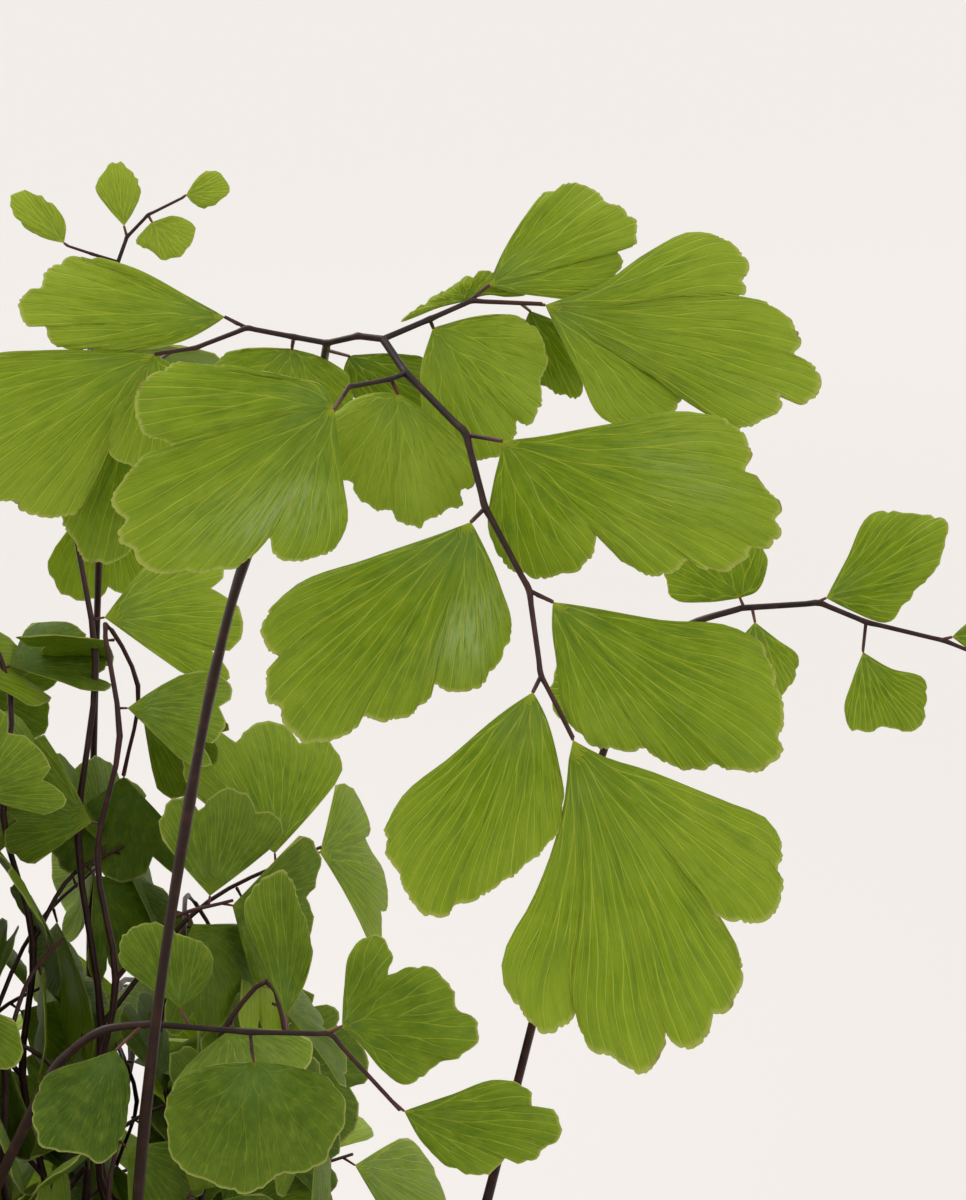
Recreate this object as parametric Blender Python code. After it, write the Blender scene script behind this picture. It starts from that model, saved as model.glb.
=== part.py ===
"""Potted maidenhair fern: a clay pot, its soil, and fronds of fan-shaped leaflets on wiry stems.

The origin is the middle of the pot's foot. The three fronds that the picture shows apart are laid
out from its own points, and the other fronds grow by one rule, round the pot.
"""
import math
import random

import bpy
import numpy as np
from mathutils import Vector
from mathutils.bvhtree import BVHTree
from mathutils.geometry import tessellate_polygon

MM = 0.001
UP = np.array((0.0, 0.0, 1.0))
NEARLY_UP = np.array((0.13, 0.21, 0.97))
CLEARANCE = 0.3 * MM

# Pot
POT_HEIGHT = 96 * MM
POT_FOOT_RADIUS = 38 * MM
POT_SHOULDER_RADIUS = 50 * MM
COLLAR_RADIUS = 55 * MM
COLLAR_HEIGHT = 22 * MM
POT_WALL = 5 * MM
POT_FLOOR = 8 * MM
POT_EDGE = 1.5 * MM
POT_SIDES = 28
SMOOTH_UNDER = math.radians(35)
DRAIN_RADIUS = 4 * MM
DRAIN_OFFSET = 18 * MM
DRAIN_COUNT = 3
DRAIN_SIDES = 8

# Soil
SOIL_LEVEL = 85 * MM
SOIL_DOME = 4 * MM
SOIL_BUMP = 1.2 * MM
SOIL_WAVES = (210, 170, 330)
SOIL_RINGS = 3
STEM_HOLE_DEPTH = 14 * MM
STEM_HOLE_SIDES = 4

# Stems
STIPE_RADIUS = 0.95 * MM
RACHIS_RADIUS = 0.6 * MM
BRANCH_RADIUS = 0.5 * MM
STALK_RADIUS = 0.42 * MM
STEM_SIDES = 3

# Leaflets
BLADE = 0.62 * MM
LOBES = ((-1.0, 0.78), (-0.70, 0.98), (-0.34, 0.98), (-0.22, 0.86), (0.06, 1.0), (0.44, 1.0), (0.56, 0.87),
         (1.0, 0.86))
TRIES = 12
GUARD = 0.3 * MM
GUARD_GROWTH = 1.04
GUARD_SIDES = 4
FREE_FROM = 0.3
JOIN_PAST = 0.25
FAR_SHARE = 0.6
SINK = 1.2 * MM

# Picture of the front frond: its middle and the eye, in the part's own frame
PICTURE_MIDDLE = np.array((42.0, -120.0, 270.0)) * MM
EYE_DISTANCE = 420 * MM
EYE_RISE = math.radians(10)
MIDDLE_PIXEL = (483, 600)
PIXEL = 0.08 * MM

# The three fronds that the picture shows apart. A stem is its radius in mm and its picture points,
# each with its distance toward the eye in mm. A stipe runs from the rachis to the root in the soil,
# in mm. Of a leaflet, "root" is the neck's end in the stem, "depth" the distance of its base toward
# the eye in mm, "lean" the further mm toward the eye for each mm to the right and down, and "arch"
# how strongly the blade bends back, in 1/m. A lobe runs from notch to notch.
FRONT_FROND = {
    "root": (6, -18),
    "stipe": ((327, 343, -14), (321, 372, -18), (292, 450, -27), (245, 560, -38), (213, 680, -50),
              (190, 800, -60)),
    "stems": {
        "rachis": (0.6, ((383, 339, -12), (406, 373, -9), (466, 434, -4), (485, 507, -1), (529, 590, 1),
                         (541, 675, 2), (573, 738, 2))),
        "right_branch": (0.5, ((383, 339, -12), (430, 319, -14), (471, 301, -16), (542, 304, -15))),
        "left_branch": (0.55, ((383, 339, -12), (358, 336, -13), (327, 343, -14), (294, 337, -15),
                               (247, 328, -16), (195, 348, -17), (155, 354, -17))),
        "left_twig": (0.42, ((247, 328, -16), (225, 317, -17))),
        "near_twig": (0.5, ((406, 373, -9), (391, 379, -7), (349, 387, -4), (332, 412, -2))),
        "stalk_right_1": (0.42, ((468, 435, -4), (502, 441, -2))),
        "stalk_left_1": (0.42, ((485, 508, -1), (471, 522, 0))),
        "stalk_right_2": (0.42, ((530, 591, 1), (553, 602, 1))),
        "stalk_left_2": (0.42, ((541, 676, 2), (533, 692, 3))),
        "stalk_middle": (0.4, ((391, 379, -7), (397, 392, -8))),
        "stalk_back": (0.4, ((430, 320, -14), (433, 327, -15))),
        "stalk_top": (0.4, ((471, 300, -16), (489, 285, -17))),
        "stalk_low": (0.4, ((294, 338, -15), (292, 347, -18))),
    },
    "leaflets": {
        "terminal": dict(
            root=(560, 713, 2), base=(573, 740), depth=2, lean=(0.10, 0.16), arch=9,
            lobes=(((600, 755), (650, 771), (700, 791), (730, 803), (770, 822), (782, 850), (778, 868)),
                   ((778, 868), (782, 895), (768, 919), (714, 917)),
                   ((714, 917), (737, 948), (742, 977), (733, 1003), (722, 1014), (713, 1014)),
                   ((713, 1014), (706, 1038), (690, 1049), (675, 1043), (666, 1032)),
                   ((666, 1032), (657, 1063), (640, 1073), (612, 1057), (588, 1047), (580, 1010)),
                   ((580, 1010), (560, 1028), (545, 1034), (522, 1010), (501, 975), (504, 953), (532, 900),
                    (555, 840), (566, 790), (569, 758)))),
        "left_2": dict(
            root=(540, 678, 2.1), base=(533, 692), depth=3, lean=(-0.12, 0.10), arch=9,
            lobes=(((545, 715), (557, 760), (563, 803), (554, 837), (546, 846)),
                   ((546, 846), (530, 862), (512, 875), (480, 897), (455, 905)),
                   ((455, 905), (447, 914), (433, 917), (410, 900), (399, 873)),
                   ((399, 873), (388, 857), (385, 835), (400, 800), (450, 757), (510, 707)))),
        "right_2": dict(
            root=(537, 595, 1), base=(553, 602), depth=1, lean=(-0.16, 0.10), arch=9,
            lobes=(((580, 606), (660, 620), (737, 629), (760, 643), (775, 680), (783, 722), (778, 737)),
                   ((778, 737), (781, 750), (765, 768), (735, 770), (715, 764)),
                   ((715, 764), (690, 770), (665, 762), (646, 748)),
                   ((646, 748), (617, 751), (585, 740), (565, 712), (556, 660), (552, 625)))),
        "left_1": dict(
            root=(480, 513, -0.7), base=(471, 522), depth=0, lean=(0.14, 0.12), arch=9,
            lobes=(((478, 535), (500, 585), (511, 630), (500, 659), (475, 688), (450, 692), (434, 684)),
                   ((434, 684), (423, 705), (395, 720), (362, 716)),
                   ((362, 716), (347, 734), (300, 739), (283, 723), (281, 709)),
                   ((281, 709), (267, 698), (269, 673), (280, 659)),
                   ((280, 659), (262, 640), (266, 618), (290, 590), (370, 558), (450, 530)))),
        "right_1": dict(
            root=(488, 438, -2.8), base=(502, 441), depth=-2, lean=(0.10, -0.14), arch=10,
            lobes=(((530, 438), (610, 424), (690, 412), (730, 424), (751, 450), (745, 471)),
                   ((745, 471), (769, 490), (780, 515), (775, 519)),
                   ((775, 519), (780, 535), (760, 548), (752, 547)),
                   ((752, 547), (738, 565), (703, 568), (688, 560)),
                   ((688, 560), (660, 576), (625, 562), (597, 531)),
                   ((597, 531), (591, 557), (550, 577), (512, 569), (490, 535), (494, 480), (500, 455)))),
        "near": dict(
            root=(342, 397, -3), base=(334, 409), depth=-1, lean=(-0.10, 0.10), arch=10,
            lobes=(((338, 440), (343, 480), (346, 527), (330, 551), (303, 560), (285, 562), (268, 537)),
                   ((268, 537), (240, 565), (195, 571), (147, 569), (131, 548)),
                   ((131, 548), (118, 540), (126, 520)),
                   ((126, 520), (112, 503), (122, 480), (145, 457), (196, 441)),
                   ((196, 441), (170, 443), (145, 433), (135, 417)),
                   ((135, 417), (137, 391), (165, 368), (218, 366), (290, 377), (325, 388)))),
        "middle": dict(
            root=(393, 383, -7.3), base=(398, 394), depth=-8, lean=(0.0, 0.12), arch=10,
            lobes=(((430, 415), (465, 450), (474, 475), (470, 488), (461, 490)),
                   ((461, 490), (459, 507), (447, 510), (429, 519)),
                   ((429, 519), (418, 526), (400, 521), (391, 510)),
                   ((391, 510), (375, 508), (358, 496), (353, 483)),
                   ((353, 483), (340, 478), (333, 445), (332, 422), (350, 402), (380, 392)))),
        "back": dict(
            root=(430, 320, -14.1), base=(433, 328), depth=-15, lean=(-0.05, 0.10), arch=8,
            lobes=(((480, 316), (525, 320), (544, 342), (547, 362), (540, 382)),
                   ((540, 382), (541, 405), (527, 424), (517, 420)),
                   ((517, 420), (513, 440), (490, 459), (465, 457)),
                   ((465, 457), (440, 440), (424, 410), (421, 370)))),
        "top": dict(
            root=(475, 297, -16.2), base=(489, 285), depth=-17, lean=(0.10, 0.10), arch=9,
            lobes=(((502, 254), (520, 224), (545, 194), (565, 185), (585, 185), (606, 202)),
                   ((606, 202), (620, 207), (637, 226), (636, 242), (617, 249)),
                   ((617, 249), (622, 265), (607, 285), (585, 297), (540, 296), (505, 290)))),
        "right_top": dict(
            root=(526, 303, -15.2), base=(545, 305), depth=-15, lean=(0.06, 0.05), arch=8,
            lobes=(((600, 285), (650, 251), (692, 232), (735, 247), (748, 268), (742, 281)),
                   ((742, 281), (746, 292), (720, 299)),
                   ((720, 299), (760, 302), (797, 330), (799, 346), (794, 354)),
                   ((794, 354), (815, 368), (821, 386), (805, 403), (780, 393)),
                   ((780, 393), (779, 412), (762, 420), (745, 428), (711, 416), (690, 388), (663, 360)),
                   ((663, 360), (681, 395), (672, 412), (640, 422), (605, 420), (578, 372), (557, 330)))),
        "upper_left": dict(
            root=(238, 324, -16.4), base=(225, 317), depth=-17, lean=(-0.05, 0.08), arch=8,
            lobes=(((194, 300), (128, 266), (95, 258), (60, 262), (45, 275), (42, 286)),
                   ((42, 286), (22, 298), (19, 312), (29, 324), (45, 326)),
                   ((45, 326), (52, 342), (85, 349), (140, 350), (185, 340), (210, 327)))),
        "left": dict(
            root=(172, 352, -17), base=(155, 354), depth=-17, lean=(-0.05, -0.08), arch=8,
            lobes=(((110, 351), (50, 350), (-20, 357), (-62, 375), (-74, 400), (-66, 425), (-52, 432)),
                   ((-52, 432), (-62, 455), (-50, 482), (-20, 500), (12, 501)),
                   ((12, 501), (36, 516), (70, 514), (90, 490), (97, 440), (106, 420)),
                   ((106, 420), (110, 452), (128, 466), (152, 470), (176, 440), (190, 400), (175, 368)))),
        "low": dict(
            root=(293, 341, -16), base=(292, 349), depth=-18, lean=(0.0, -0.08), arch=8,
            lobes=(((320, 357), (348, 378), (352, 400), (338, 418), (312, 414)),
                   ((312, 414), (296, 430), (272, 428), (262, 414)),
                   ((262, 414), (236, 414), (214, 392), (216, 362), (250, 349)))),
        "behind": dict(
            root=(326, 350, -15), base=(349, 356), depth=-20, lean=(0.0, -0.05), arch=6,
            lobes=(((392, 354), (424, 360), (438, 384), (430, 400)),
                   ((430, 400), (416, 416), (390, 414), (380, 402)),
                   ((380, 402), (360, 402), (347, 384), (344, 368)))),
        "back_top": dict(
            root=(466, 303, -16), base=(466, 301), depth=-18, lean=(0.0, 0.0), arch=6,
            lobes=(((440, 307), (412, 318), (401, 322), (428, 301), (448, 289)),
                   ((448, 289), (470, 277), (488, 271), (500, 276)),
                   ((500, 276), (520, 282), (528, 293), (508, 297), (488, 295)))),
        "back_right": dict(
            root=(520, 303, -15.4), base=(530, 311), depth=-20, lean=(0.0, 0.0), arch=6,
            lobes=(((556, 322), (578, 345), (586, 372), (583, 386)),
                   ((583, 386), (578, 397), (560, 394), (545, 386)),
                   ((545, 386), (528, 380), (520, 355), (522, 330)))),
        "deep": dict(
            root=(172, 351.5, -17.2), base=(150, 366), depth=-24, lean=(0.0, 0.0), arch=6,
            lobes=(((160, 420), (158, 480), (150, 530), (126, 556)),
                   ((126, 556), (104, 563), (85, 560), (76, 544)),
                   ((76, 544), (62, 520), (70, 480), (95, 430), (130, 385)))),
    },
}
RIGHT_FROND = {
    "root": (12, 6),
    "stipe": ((742, 608, -72), (690, 625, -75), (632, 690, -80), (588, 800, -88), (556, 930, -98)),
    "stems": {
        "rachis": (0.5, ((742, 608, -72), (820, 603, -70), (866, 622, -68), (945, 641, -66),
                         (1012, 668, -64))),
        "stalk_low": (0.4, ((866, 622, -68), (863, 650, -68))),
    },
    "leaflets": {
        "upper": dict(
            root=(814, 603.5, -70), base=(826, 598), depth=-70, lean=(0.1, 0.1), arch=5,
            lobes=(((846, 560), (873, 513), (908, 513)),
                   ((908, 513), (946, 522), (940, 564)),
                   ((940, 564), (914, 592), (886, 622), (852, 611)))),
        "lower": dict(
            root=(864, 640, -68), base=(863, 652), depth=-68, lean=(0.0, 0.15), arch=5,
            lobes=(((890, 668), (925, 680), (926, 704)),
                   ((926, 704), (918, 729), (886, 727)),
                   ((886, 727), (852, 730), (845, 712), (853, 678)))),
        "side": dict(
            root=(940, 640, -66), base=(952, 637), depth=-66, lean=(0.0, 0.1), arch=5,
            lobes=(((985, 610), (1018, 598), (1034, 620)),
                   ((1034, 620), (1042, 642), (1020, 652)),
                   ((1020, 652), (996, 662), (970, 650)))),
        "tip": dict(
            root=(1002, 664, -64), base=(1016, 670), depth=-64, lean=(0.0, 0.15), arch=5,
            lobes=(((1050, 664), (1086, 668), (1092, 696)),
                   ((1092, 696), (1084, 726), (1052, 730)),
                   ((1052, 730), (1024, 724), (1016, 696)))),
        "inner": dict(
            root=(744, 607.5, -72), base=(740, 598), depth=-73, lean=(0.0, -0.1), arch=5,
            lobes=(((706, 602), (673, 598), (664, 562)),
                   ((664, 562), (676, 530), (716, 522)),
                   ((716, 522), (756, 534), (766, 570), (756, 592)))),
        "under": dict(
            root=(752, 607.5, -71.8), base=(755, 622), depth=-71, lean=(0.0, 0.15), arch=5,
            lobes=(((778, 640), (798, 656), (792, 684)),
                   ((792, 684), (766, 704), (738, 694)),
                   ((738, 694), (722, 672), (738, 642)))),
        "hidden": dict(
            root=(632, 690, -80), base=(618, 688), depth=-80, lean=(0.1, 0.0), arch=5,
            lobes=(((596, 650), (567, 636), (554, 674)),
                   ((554, 674), (552, 706), (574, 728)),
                   ((574, 728), (596, 732), (606, 710)))),
    },
}
LOW_FROND = {
    "root": (-5, -8),
    "stipe": ((150, 1024, -86), (104, 1030, -86), (60, 1062, -88), (28, 1120, -92)),
    "stems": {
        "rachis": (0.55, ((150, 1024, -86), (250, 1032, -85), (330, 1034, -84), (400, 1110, -83))),
        "stalk_low": (0.4, ((250, 1032, -85), (253, 1058, -84))),
    },
    "leaflets": {
        "right": dict(
            root=(327, 1034, -84), base=(342, 1026), depth=-84, lean=(0.0, 0.1), arch=5,
            lobes=(((344, 990), (352, 950), (372, 935), (390, 948), (388, 975)),
                   ((388, 975), (420, 966), (448, 982), (458, 1010)),
                   ((458, 1010), (478, 1024), (470, 1050), (440, 1062)),
                   ((440, 1062), (402, 1084), (384, 1072), (362, 1046)))),
        "tip": dict(
            root=(390, 1099, -83.2), base=(404, 1111), depth=-83, lean=(0.0, 0.1), arch=5,
            lobes=(((450, 1095), (500, 1080), (528, 1090), (532, 1108)),
                   ((532, 1108), (558, 1115), (560, 1135), (545, 1148)),
                   ((545, 1148), (530, 1162), (505, 1158)),
                   ((505, 1158), (490, 1173), (450, 1166), (422, 1142)))),
        "under": dict(
            root=(251, 1048, -84.5), base=(254, 1062), depth=-84, lean=(0.0, 0.2), arch=5,
            lobes=(((300, 1068), (335, 1085), (346, 1115), (335, 1140)),
                   ((335, 1140), (318, 1166), (280, 1175)),
                   ((280, 1175), (246, 1194), (210, 1182)),
                   ((210, 1182), (176, 1165), (167, 1130)),
                   ((167, 1130), (169, 1095), (184, 1076), (215, 1065)))),
        "upright": dict(
            root=(288, 1033, -84.6), base=(286, 1016), depth=-86, lean=(0.0, 0.0), arch=5,
            lobes=(((264, 965), (246, 902), (262, 878)),
                   ((262, 878), (284, 872), (300, 905)),
                   ((300, 905), (312, 950), (302, 990)))),
        "left_under": dict(
            root=(142, 1025, -86), base=(116, 1050), depth=-84, lean=(0.0, 0.2), arch=5,
            lobes=(((126, 1066), (129, 1100), (122, 1138)),
                   ((122, 1138), (104, 1162), (80, 1154)),
                   ((80, 1154), (42, 1144), (32, 1110)),
                   ((32, 1110), (46, 1076), (88, 1060)))),
        "left_upright": dict(
            root=(190, 1027, -85.6), base=(180, 1008), depth=-87, lean=(0.0, 0.0), arch=5,
            lobes=(((146, 985), (120, 962), (122, 935)),
                   ((122, 935), (150, 922), (180, 934)),
                   ((180, 934), (210, 950), (206, 985)))),
    },
}
PICTURE_FRONDS = {"front_frond": FRONT_FROND, "right_frond": RIGHT_FROND, "low_frond": LOW_FROND}

# Fronds that grow by the rule: how many in a ring, where the ring starts, in degrees, where its
# stems stand in the soil, how far the tips reach and how high the stems rise, in mm. The share "tall"
# raises the stems on the tall side of the plant and lowers the others.
RINGS = (
    dict(count=9, start=-72, turn=36, root=26, reach=116, rise=168, tall=0.17, drop=58, size=19.5, nodes=8,
         branches=3),
    dict(count=5, start=-50, turn=70, root=17, reach=82, rise=196, tall=0.17, drop=38, size=18.5, nodes=8,
         branches=3),
    dict(count=3, start=88, turn=52, root=8, reach=50, rise=280, tall=0, drop=24, size=16.5, nodes=7,
         branches=2),
)
TALL_SIDE = math.radians(155)

STIPE_STEPS = 4
STIPE_BOW = 0.45
CURVE_STEPS = 60
BARE_SHARE = 0.46
NODE_SHRINK = 0.94
ZIGZAG = 1.1 * MM
SPREAD = math.radians(58)
BRANCH_LENGTH = 36 * MM
BRANCH_SHRINK = 0.84
BRANCH_SAG = 0.16
LEAFLET_SPREAD = math.radians(62)
HANG = 0.38
FACE_OUT = 0.8
OUTWARD_PULL = 20 * MM
TIP_SHRINK = 0.05

# Bends of a stem before its tip, as shares of its reach and of its rise
STEM_BENDS = ((0.10, 0.86), (0.62, 1.13))

# How far each piece may vary, and how much more at each further try
RISE_VARY = (0.97, 1.03)
REACH_VARY = (0.94, 1.04)
SWAY = 9 * MM
STEM_TURN_STEP = 6
BRANCH_TURN = math.radians(6)
BRANCH_LIFT = (-0.08, 0.12)
BRANCH_LIFT_STEP = 0.6
BRANCH_VARY = (0.92, 1.06)
LEAFLET_TURN = math.radians(8)
LEAFLET_TILT = 0.2
LEAFLET_ROLL = math.radians(12)
LEAFLET_ROLL_STEP = math.radians(7)
LEAFLET_SIZE_STEP = 0.025
DROOP = (0.06, 0.24)
CUP = (-0.16, 0.02)
TWIST = (-0.1, 0.1)
FAN_HALF = (math.radians(40), math.radians(49))
FAN_SKEW = (0.02, 0.12)
LOBE_VARY = (0.95, 1.04)
LOBE_TURN = math.radians(2)

# Colours, as red, green and blue, and roughness
FINISHES = {
    "clay": ((0.52, 0.20, 0.10), 0.85),
    "soil": ((0.030, 0.020, 0.013), 0.95),
    "leaf": ((0.21, 0.36, 0.055), 0.5),
}


def unit(vector):
    return vector / np.linalg.norm(vector)


def clear_scene():
    for thing in list(bpy.data.objects):
        bpy.data.objects.remove(thing, do_unlink=True)


def finish(name, look):
    colour, roughness = FINISHES[look]
    material = bpy.data.materials.new(f"{look}_{name}")
    material.use_nodes = True
    shader = material.node_tree.nodes["Principled BSDF"]
    shader.inputs["Base Color"].default_value = (*colour, 1.0)
    shader.inputs["Roughness"].default_value = roughness
    return material


def solid(name, vertices, faces):
    mesh = bpy.data.meshes.new(name)
    mesh.from_pydata([tuple(map(float, v)) for v in vertices], [], faces)
    thing = bpy.data.objects.new(name, mesh)
    bpy.context.scene.collection.objects.link(thing)
    return thing


def apply_modifiers(thing):
    """Keep the evaluated shape and drop the modifiers that made it."""
    depsgraph = bpy.context.evaluated_depsgraph_get()
    mesh = bpy.data.meshes.new_from_object(thing.evaluated_get(depsgraph))
    thing.modifiers.clear()
    thing.data = mesh


def boolean(thing, others, operation):
    """Join others to the thing, or cut them out of it, and remove them."""
    group = bpy.data.collections.new("group")
    bpy.context.scene.collection.children.link(group)
    for other in others:
        group.objects.link(other)
    step = thing.modifiers.new("step", "BOOLEAN")
    step.operation = operation
    step.operand_type = "COLLECTION"
    step.collection = group
    step.solver = "MANIFOLD" if operation == "UNION" else "EXACT"
    apply_modifiers(thing)
    for other in others:
        bpy.data.objects.remove(other, do_unlink=True)
    bpy.data.collections.remove(group)


def turned(name, profile, sides):
    """Closed solid of a profile of radius and height, turned about the upright axis."""
    angles = np.arange(sides) * 2 * math.pi / sides
    vertices = []
    rings = []
    for radius, height in profile:
        start = len(vertices)
        if radius == 0:
            vertices.append((0, 0, height))
            rings.append([start] * sides)
        else:
            vertices += [(radius * math.cos(a), radius * math.sin(a), height) for a in angles]
            rings.append(list(range(start, start + sides)))
    faces = []
    for low, high in zip(rings, rings[1:]):
        for i in range(sides):
            j = (i + 1) % sides
            corners = (low[i], low[j], high[j], high[i])
            faces.append(tuple(dict.fromkeys(corners)))
    return solid(name, vertices, faces)


def wall_radius(height):
    """Radius of the pot's outer wall, under the collar."""
    return POT_FOOT_RADIUS + (POT_SHOULDER_RADIUS - POT_FOOT_RADIUS) * height / (POT_HEIGHT - COLLAR_HEIGHT)


def inner_radius(height):
    return wall_radius(height) - POT_WALL


def make_pot():
    shoulder = POT_HEIGHT - COLLAR_HEIGHT
    mouth = inner_radius(POT_HEIGHT)
    profile = (
        (0, 0),
        (POT_FOOT_RADIUS - POT_EDGE, 0),
        (POT_FOOT_RADIUS, POT_EDGE),
        (wall_radius(shoulder), shoulder),
        (COLLAR_RADIUS - POT_EDGE, shoulder),
        (COLLAR_RADIUS, shoulder + POT_EDGE),
        (COLLAR_RADIUS + POT_EDGE, POT_HEIGHT - POT_EDGE),
        (COLLAR_RADIUS, POT_HEIGHT),
        (mouth + POT_EDGE, POT_HEIGHT),
        (mouth, POT_HEIGHT - POT_EDGE),
        (inner_radius(POT_FLOOR), POT_FLOOR),
        (0, POT_FLOOR),
    )
    pot = turned("pot", profile, POT_SIDES)
    drains = []
    for i in range(DRAIN_COUNT):
        angle = (i + 0.5) * 2 * math.pi / DRAIN_COUNT
        bottom = np.array((math.cos(angle), math.sin(angle), 0)) * DRAIN_OFFSET - UP * POT_FLOOR
        drains.append(prism("drain", bottom, DRAIN_RADIUS, 3 * POT_FLOOR, DRAIN_SIDES))
    boolean(pot, drains, "DIFFERENCE")
    pot.data.shade_smooth()
    pot.data.set_sharp_from_angle(angle=SMOOTH_UNDER)
    pot.data.materials.append(finish("pot", "clay"))
    return pot


def prism(name, bottom, radius, height, sides):
    angles = (np.arange(sides) + 0.5) * 2 * math.pi / sides
    ring = np.stack((np.cos(angles) * radius, np.sin(angles) * radius, angles * 0), axis=1) + bottom
    vertices = np.concatenate((ring, ring + UP * height))
    faces = [tuple(range(sides - 1, -1, -1)), tuple(range(sides, 2 * sides))]
    faces += [(i, (i + 1) % sides, sides + (i + 1) % sides, sides + i) for i in range(sides)]
    return solid(name, vertices, faces)


def soil_height(x, y):
    """Low dome with small bumps."""
    reach = math.hypot(x, y) / inner_radius(SOIL_LEVEL)
    wave_x, wave_y, wave_both = SOIL_WAVES
    bumps = math.sin(wave_x * x + 1) * math.cos(wave_y * y) + math.sin(wave_both * (x + y)) / 2
    return SOIL_LEVEL + SOIL_DOME * (1 - reach ** 2) + SOIL_BUMP * bumps * (1 - reach ** 4)


def make_soil(roots):
    """Soil that fills the pot, with a plain hole round each stem."""
    gap = CLEARANCE / math.cos(math.pi / POT_SIDES)
    edge = inner_radius(SOIL_LEVEL) - gap
    low = POT_FLOOR + CLEARANCE
    profile = [(0, low), (inner_radius(low) - gap, low), (edge, SOIL_LEVEL)]
    profile += [(edge * (SOIL_RINGS - i) / SOIL_RINGS, SOIL_LEVEL) for i in range(1, SOIL_RINGS + 1)]
    soil = turned("soil", profile, POT_SIDES)
    for vertex in soil.data.vertices:
        inside = math.hypot(vertex.co.x, vertex.co.y) < edge - CLEARANCE
        if inside and vertex.co.z > SOIL_LEVEL - CLEARANCE:
            vertex.co.z = soil_height(vertex.co.x, vertex.co.y)
    holes = []
    for end, above in roots:
        holes.append(hole_cutter(end, unit(above - end), STIPE_RADIUS + 2 * CLEARANCE))
    boolean(soil, holes, "DIFFERENCE")
    soil.data.materials.append(finish("soil", "soil"))
    return soil


def hole_cutter(bottom, heading, radius):
    """Cutter along a stem, from just under its end to above the soil."""
    reach = STEM_HOLE_DEPTH + 4 * SOIL_DOME
    path = np.array((bottom - heading * CLEARANCE, bottom + heading * reach))
    radii = np.array((radius, radius)) / math.cos(math.pi / STEM_HOLE_SIDES)
    return solid("hole", *tube(path, radii, STEM_HOLE_SIDES))


def tube(path, radii, sides=STEM_SIDES):
    """Closed tube along points, its rings kept upright, with flat ends."""
    path = np.asarray(path, dtype=float)
    tangents = np.gradient(path, axis=0)
    side = unit(np.cross(tangents.mean(axis=0), NEARLY_UP))
    vertices = []
    for point, tangent, radius in zip(path, tangents, radii):
        ahead = unit(tangent)
        across = unit(side - ahead * side.dot(ahead))
        over = np.cross(ahead, across)
        for k in range(sides):
            angle = 2 * math.pi * k / sides
            vertices.append(point + (across * math.cos(angle) + over * math.sin(angle)) * radius)
    faces = [tuple(range(sides - 1, -1, -1))]
    last = (len(path) - 1) * sides
    faces.append(tuple(range(last, last + sides)))
    for i in range(len(path) - 1):
        for k in range(sides):
            j = (k + 1) % sides
            faces.append((i * sides + k, i * sides + j, (i + 1) * sides + j, (i + 1) * sides + k))
    return np.array(vertices), faces


def blade(flat, points, lift):
    """Closed slab on an outline, split into the same triangles on both faces. The first point is
    the neck's end, and one triangle runs from it to the two corners of the blade."""
    count = len(points)
    triangles = [(0, 1, count - 1)]
    for triangle in tessellate_polygon([[Vector((x, y, 0)) for x, y in flat[1:]]]):
        triangles.append(tuple(i + 1 for i in triangle))
    triangles = [(a, b, c) if turns_left(flat, a, b, c) else (a, c, b) for a, b, c in triangles]
    facing = sum(np.cross(points[b] - points[a], points[c] - points[a]) for a, b, c in triangles)
    if facing.dot(lift) < 0:
        triangles = [(a, c, b) for a, b, c in triangles]
    edges = {(face[i], face[(i + 1) % 3]) for face in triangles for i in range(3)}
    faces = triangles + [(count + c, count + b, count + a) for a, b, c in triangles]
    faces += [(b, a, count + a, count + b) for a, b in sorted(edges) if (b, a) not in edges]
    return np.concatenate((points + lift, points - lift)), faces


def turns_left(flat, a, b, c):
    one = np.subtract(flat[b], flat[a])
    other = np.subtract(flat[c], flat[a])
    return one[0] * other[1] - one[1] * other[0] > 0


def seen(pixel, toward):
    """Point that shows at a picture point, moved toward the eye by a distance."""
    rise = np.array((0.0, math.sin(EYE_RISE), math.cos(EYE_RISE)))
    x = (pixel[0] - MIDDLE_PIXEL[0]) * PIXEL
    y = (MIDDLE_PIXEL[1] - pixel[1]) * PIXEL
    point = PICTURE_MIDDLE + np.array((x, 0, 0)) + rise * y
    eye = PICTURE_MIDDLE + EYE_DISTANCE * eye_direction()
    return point + (eye - point) * toward / EYE_DISTANCE


def eye_direction():
    return np.array((0.0, -math.cos(EYE_RISE), math.sin(EYE_RISE)))


def depth_at(leaflet, pixel):
    """Distance toward the eye of a picture point on a leaflet's curved face."""
    right = (pixel[0] - leaflet["base"][0]) * PIXEL
    down = (pixel[1] - leaflet["base"][1]) * PIXEL
    lean = leaflet["lean"][0] * right + leaflet["lean"][1] * down
    return leaflet["depth"] * MM + lean - leaflet["arch"] * (right ** 2 + down ** 2) / 2


def picture_leaflet(leaflet):
    """Blade through the neck's end and each lobe's points, the notch between two lobes once."""
    *root, root_depth = leaflet["root"]
    pixels = []
    for lobe in leaflet["lobes"]:
        pixels += [pixel for pixel in lobe if pixel not in pixels[-1:]]
    points = [seen(root, root_depth * MM)]
    points += [seen(pixel, depth_at(leaflet, pixel)) for pixel in pixels]
    return blade([root, *pixels], np.array(points), eye_direction() * BLADE / 2)


def picture_path(path):
    return np.array([seen((x, y), toward * MM) for x, y, toward in path])


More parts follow.
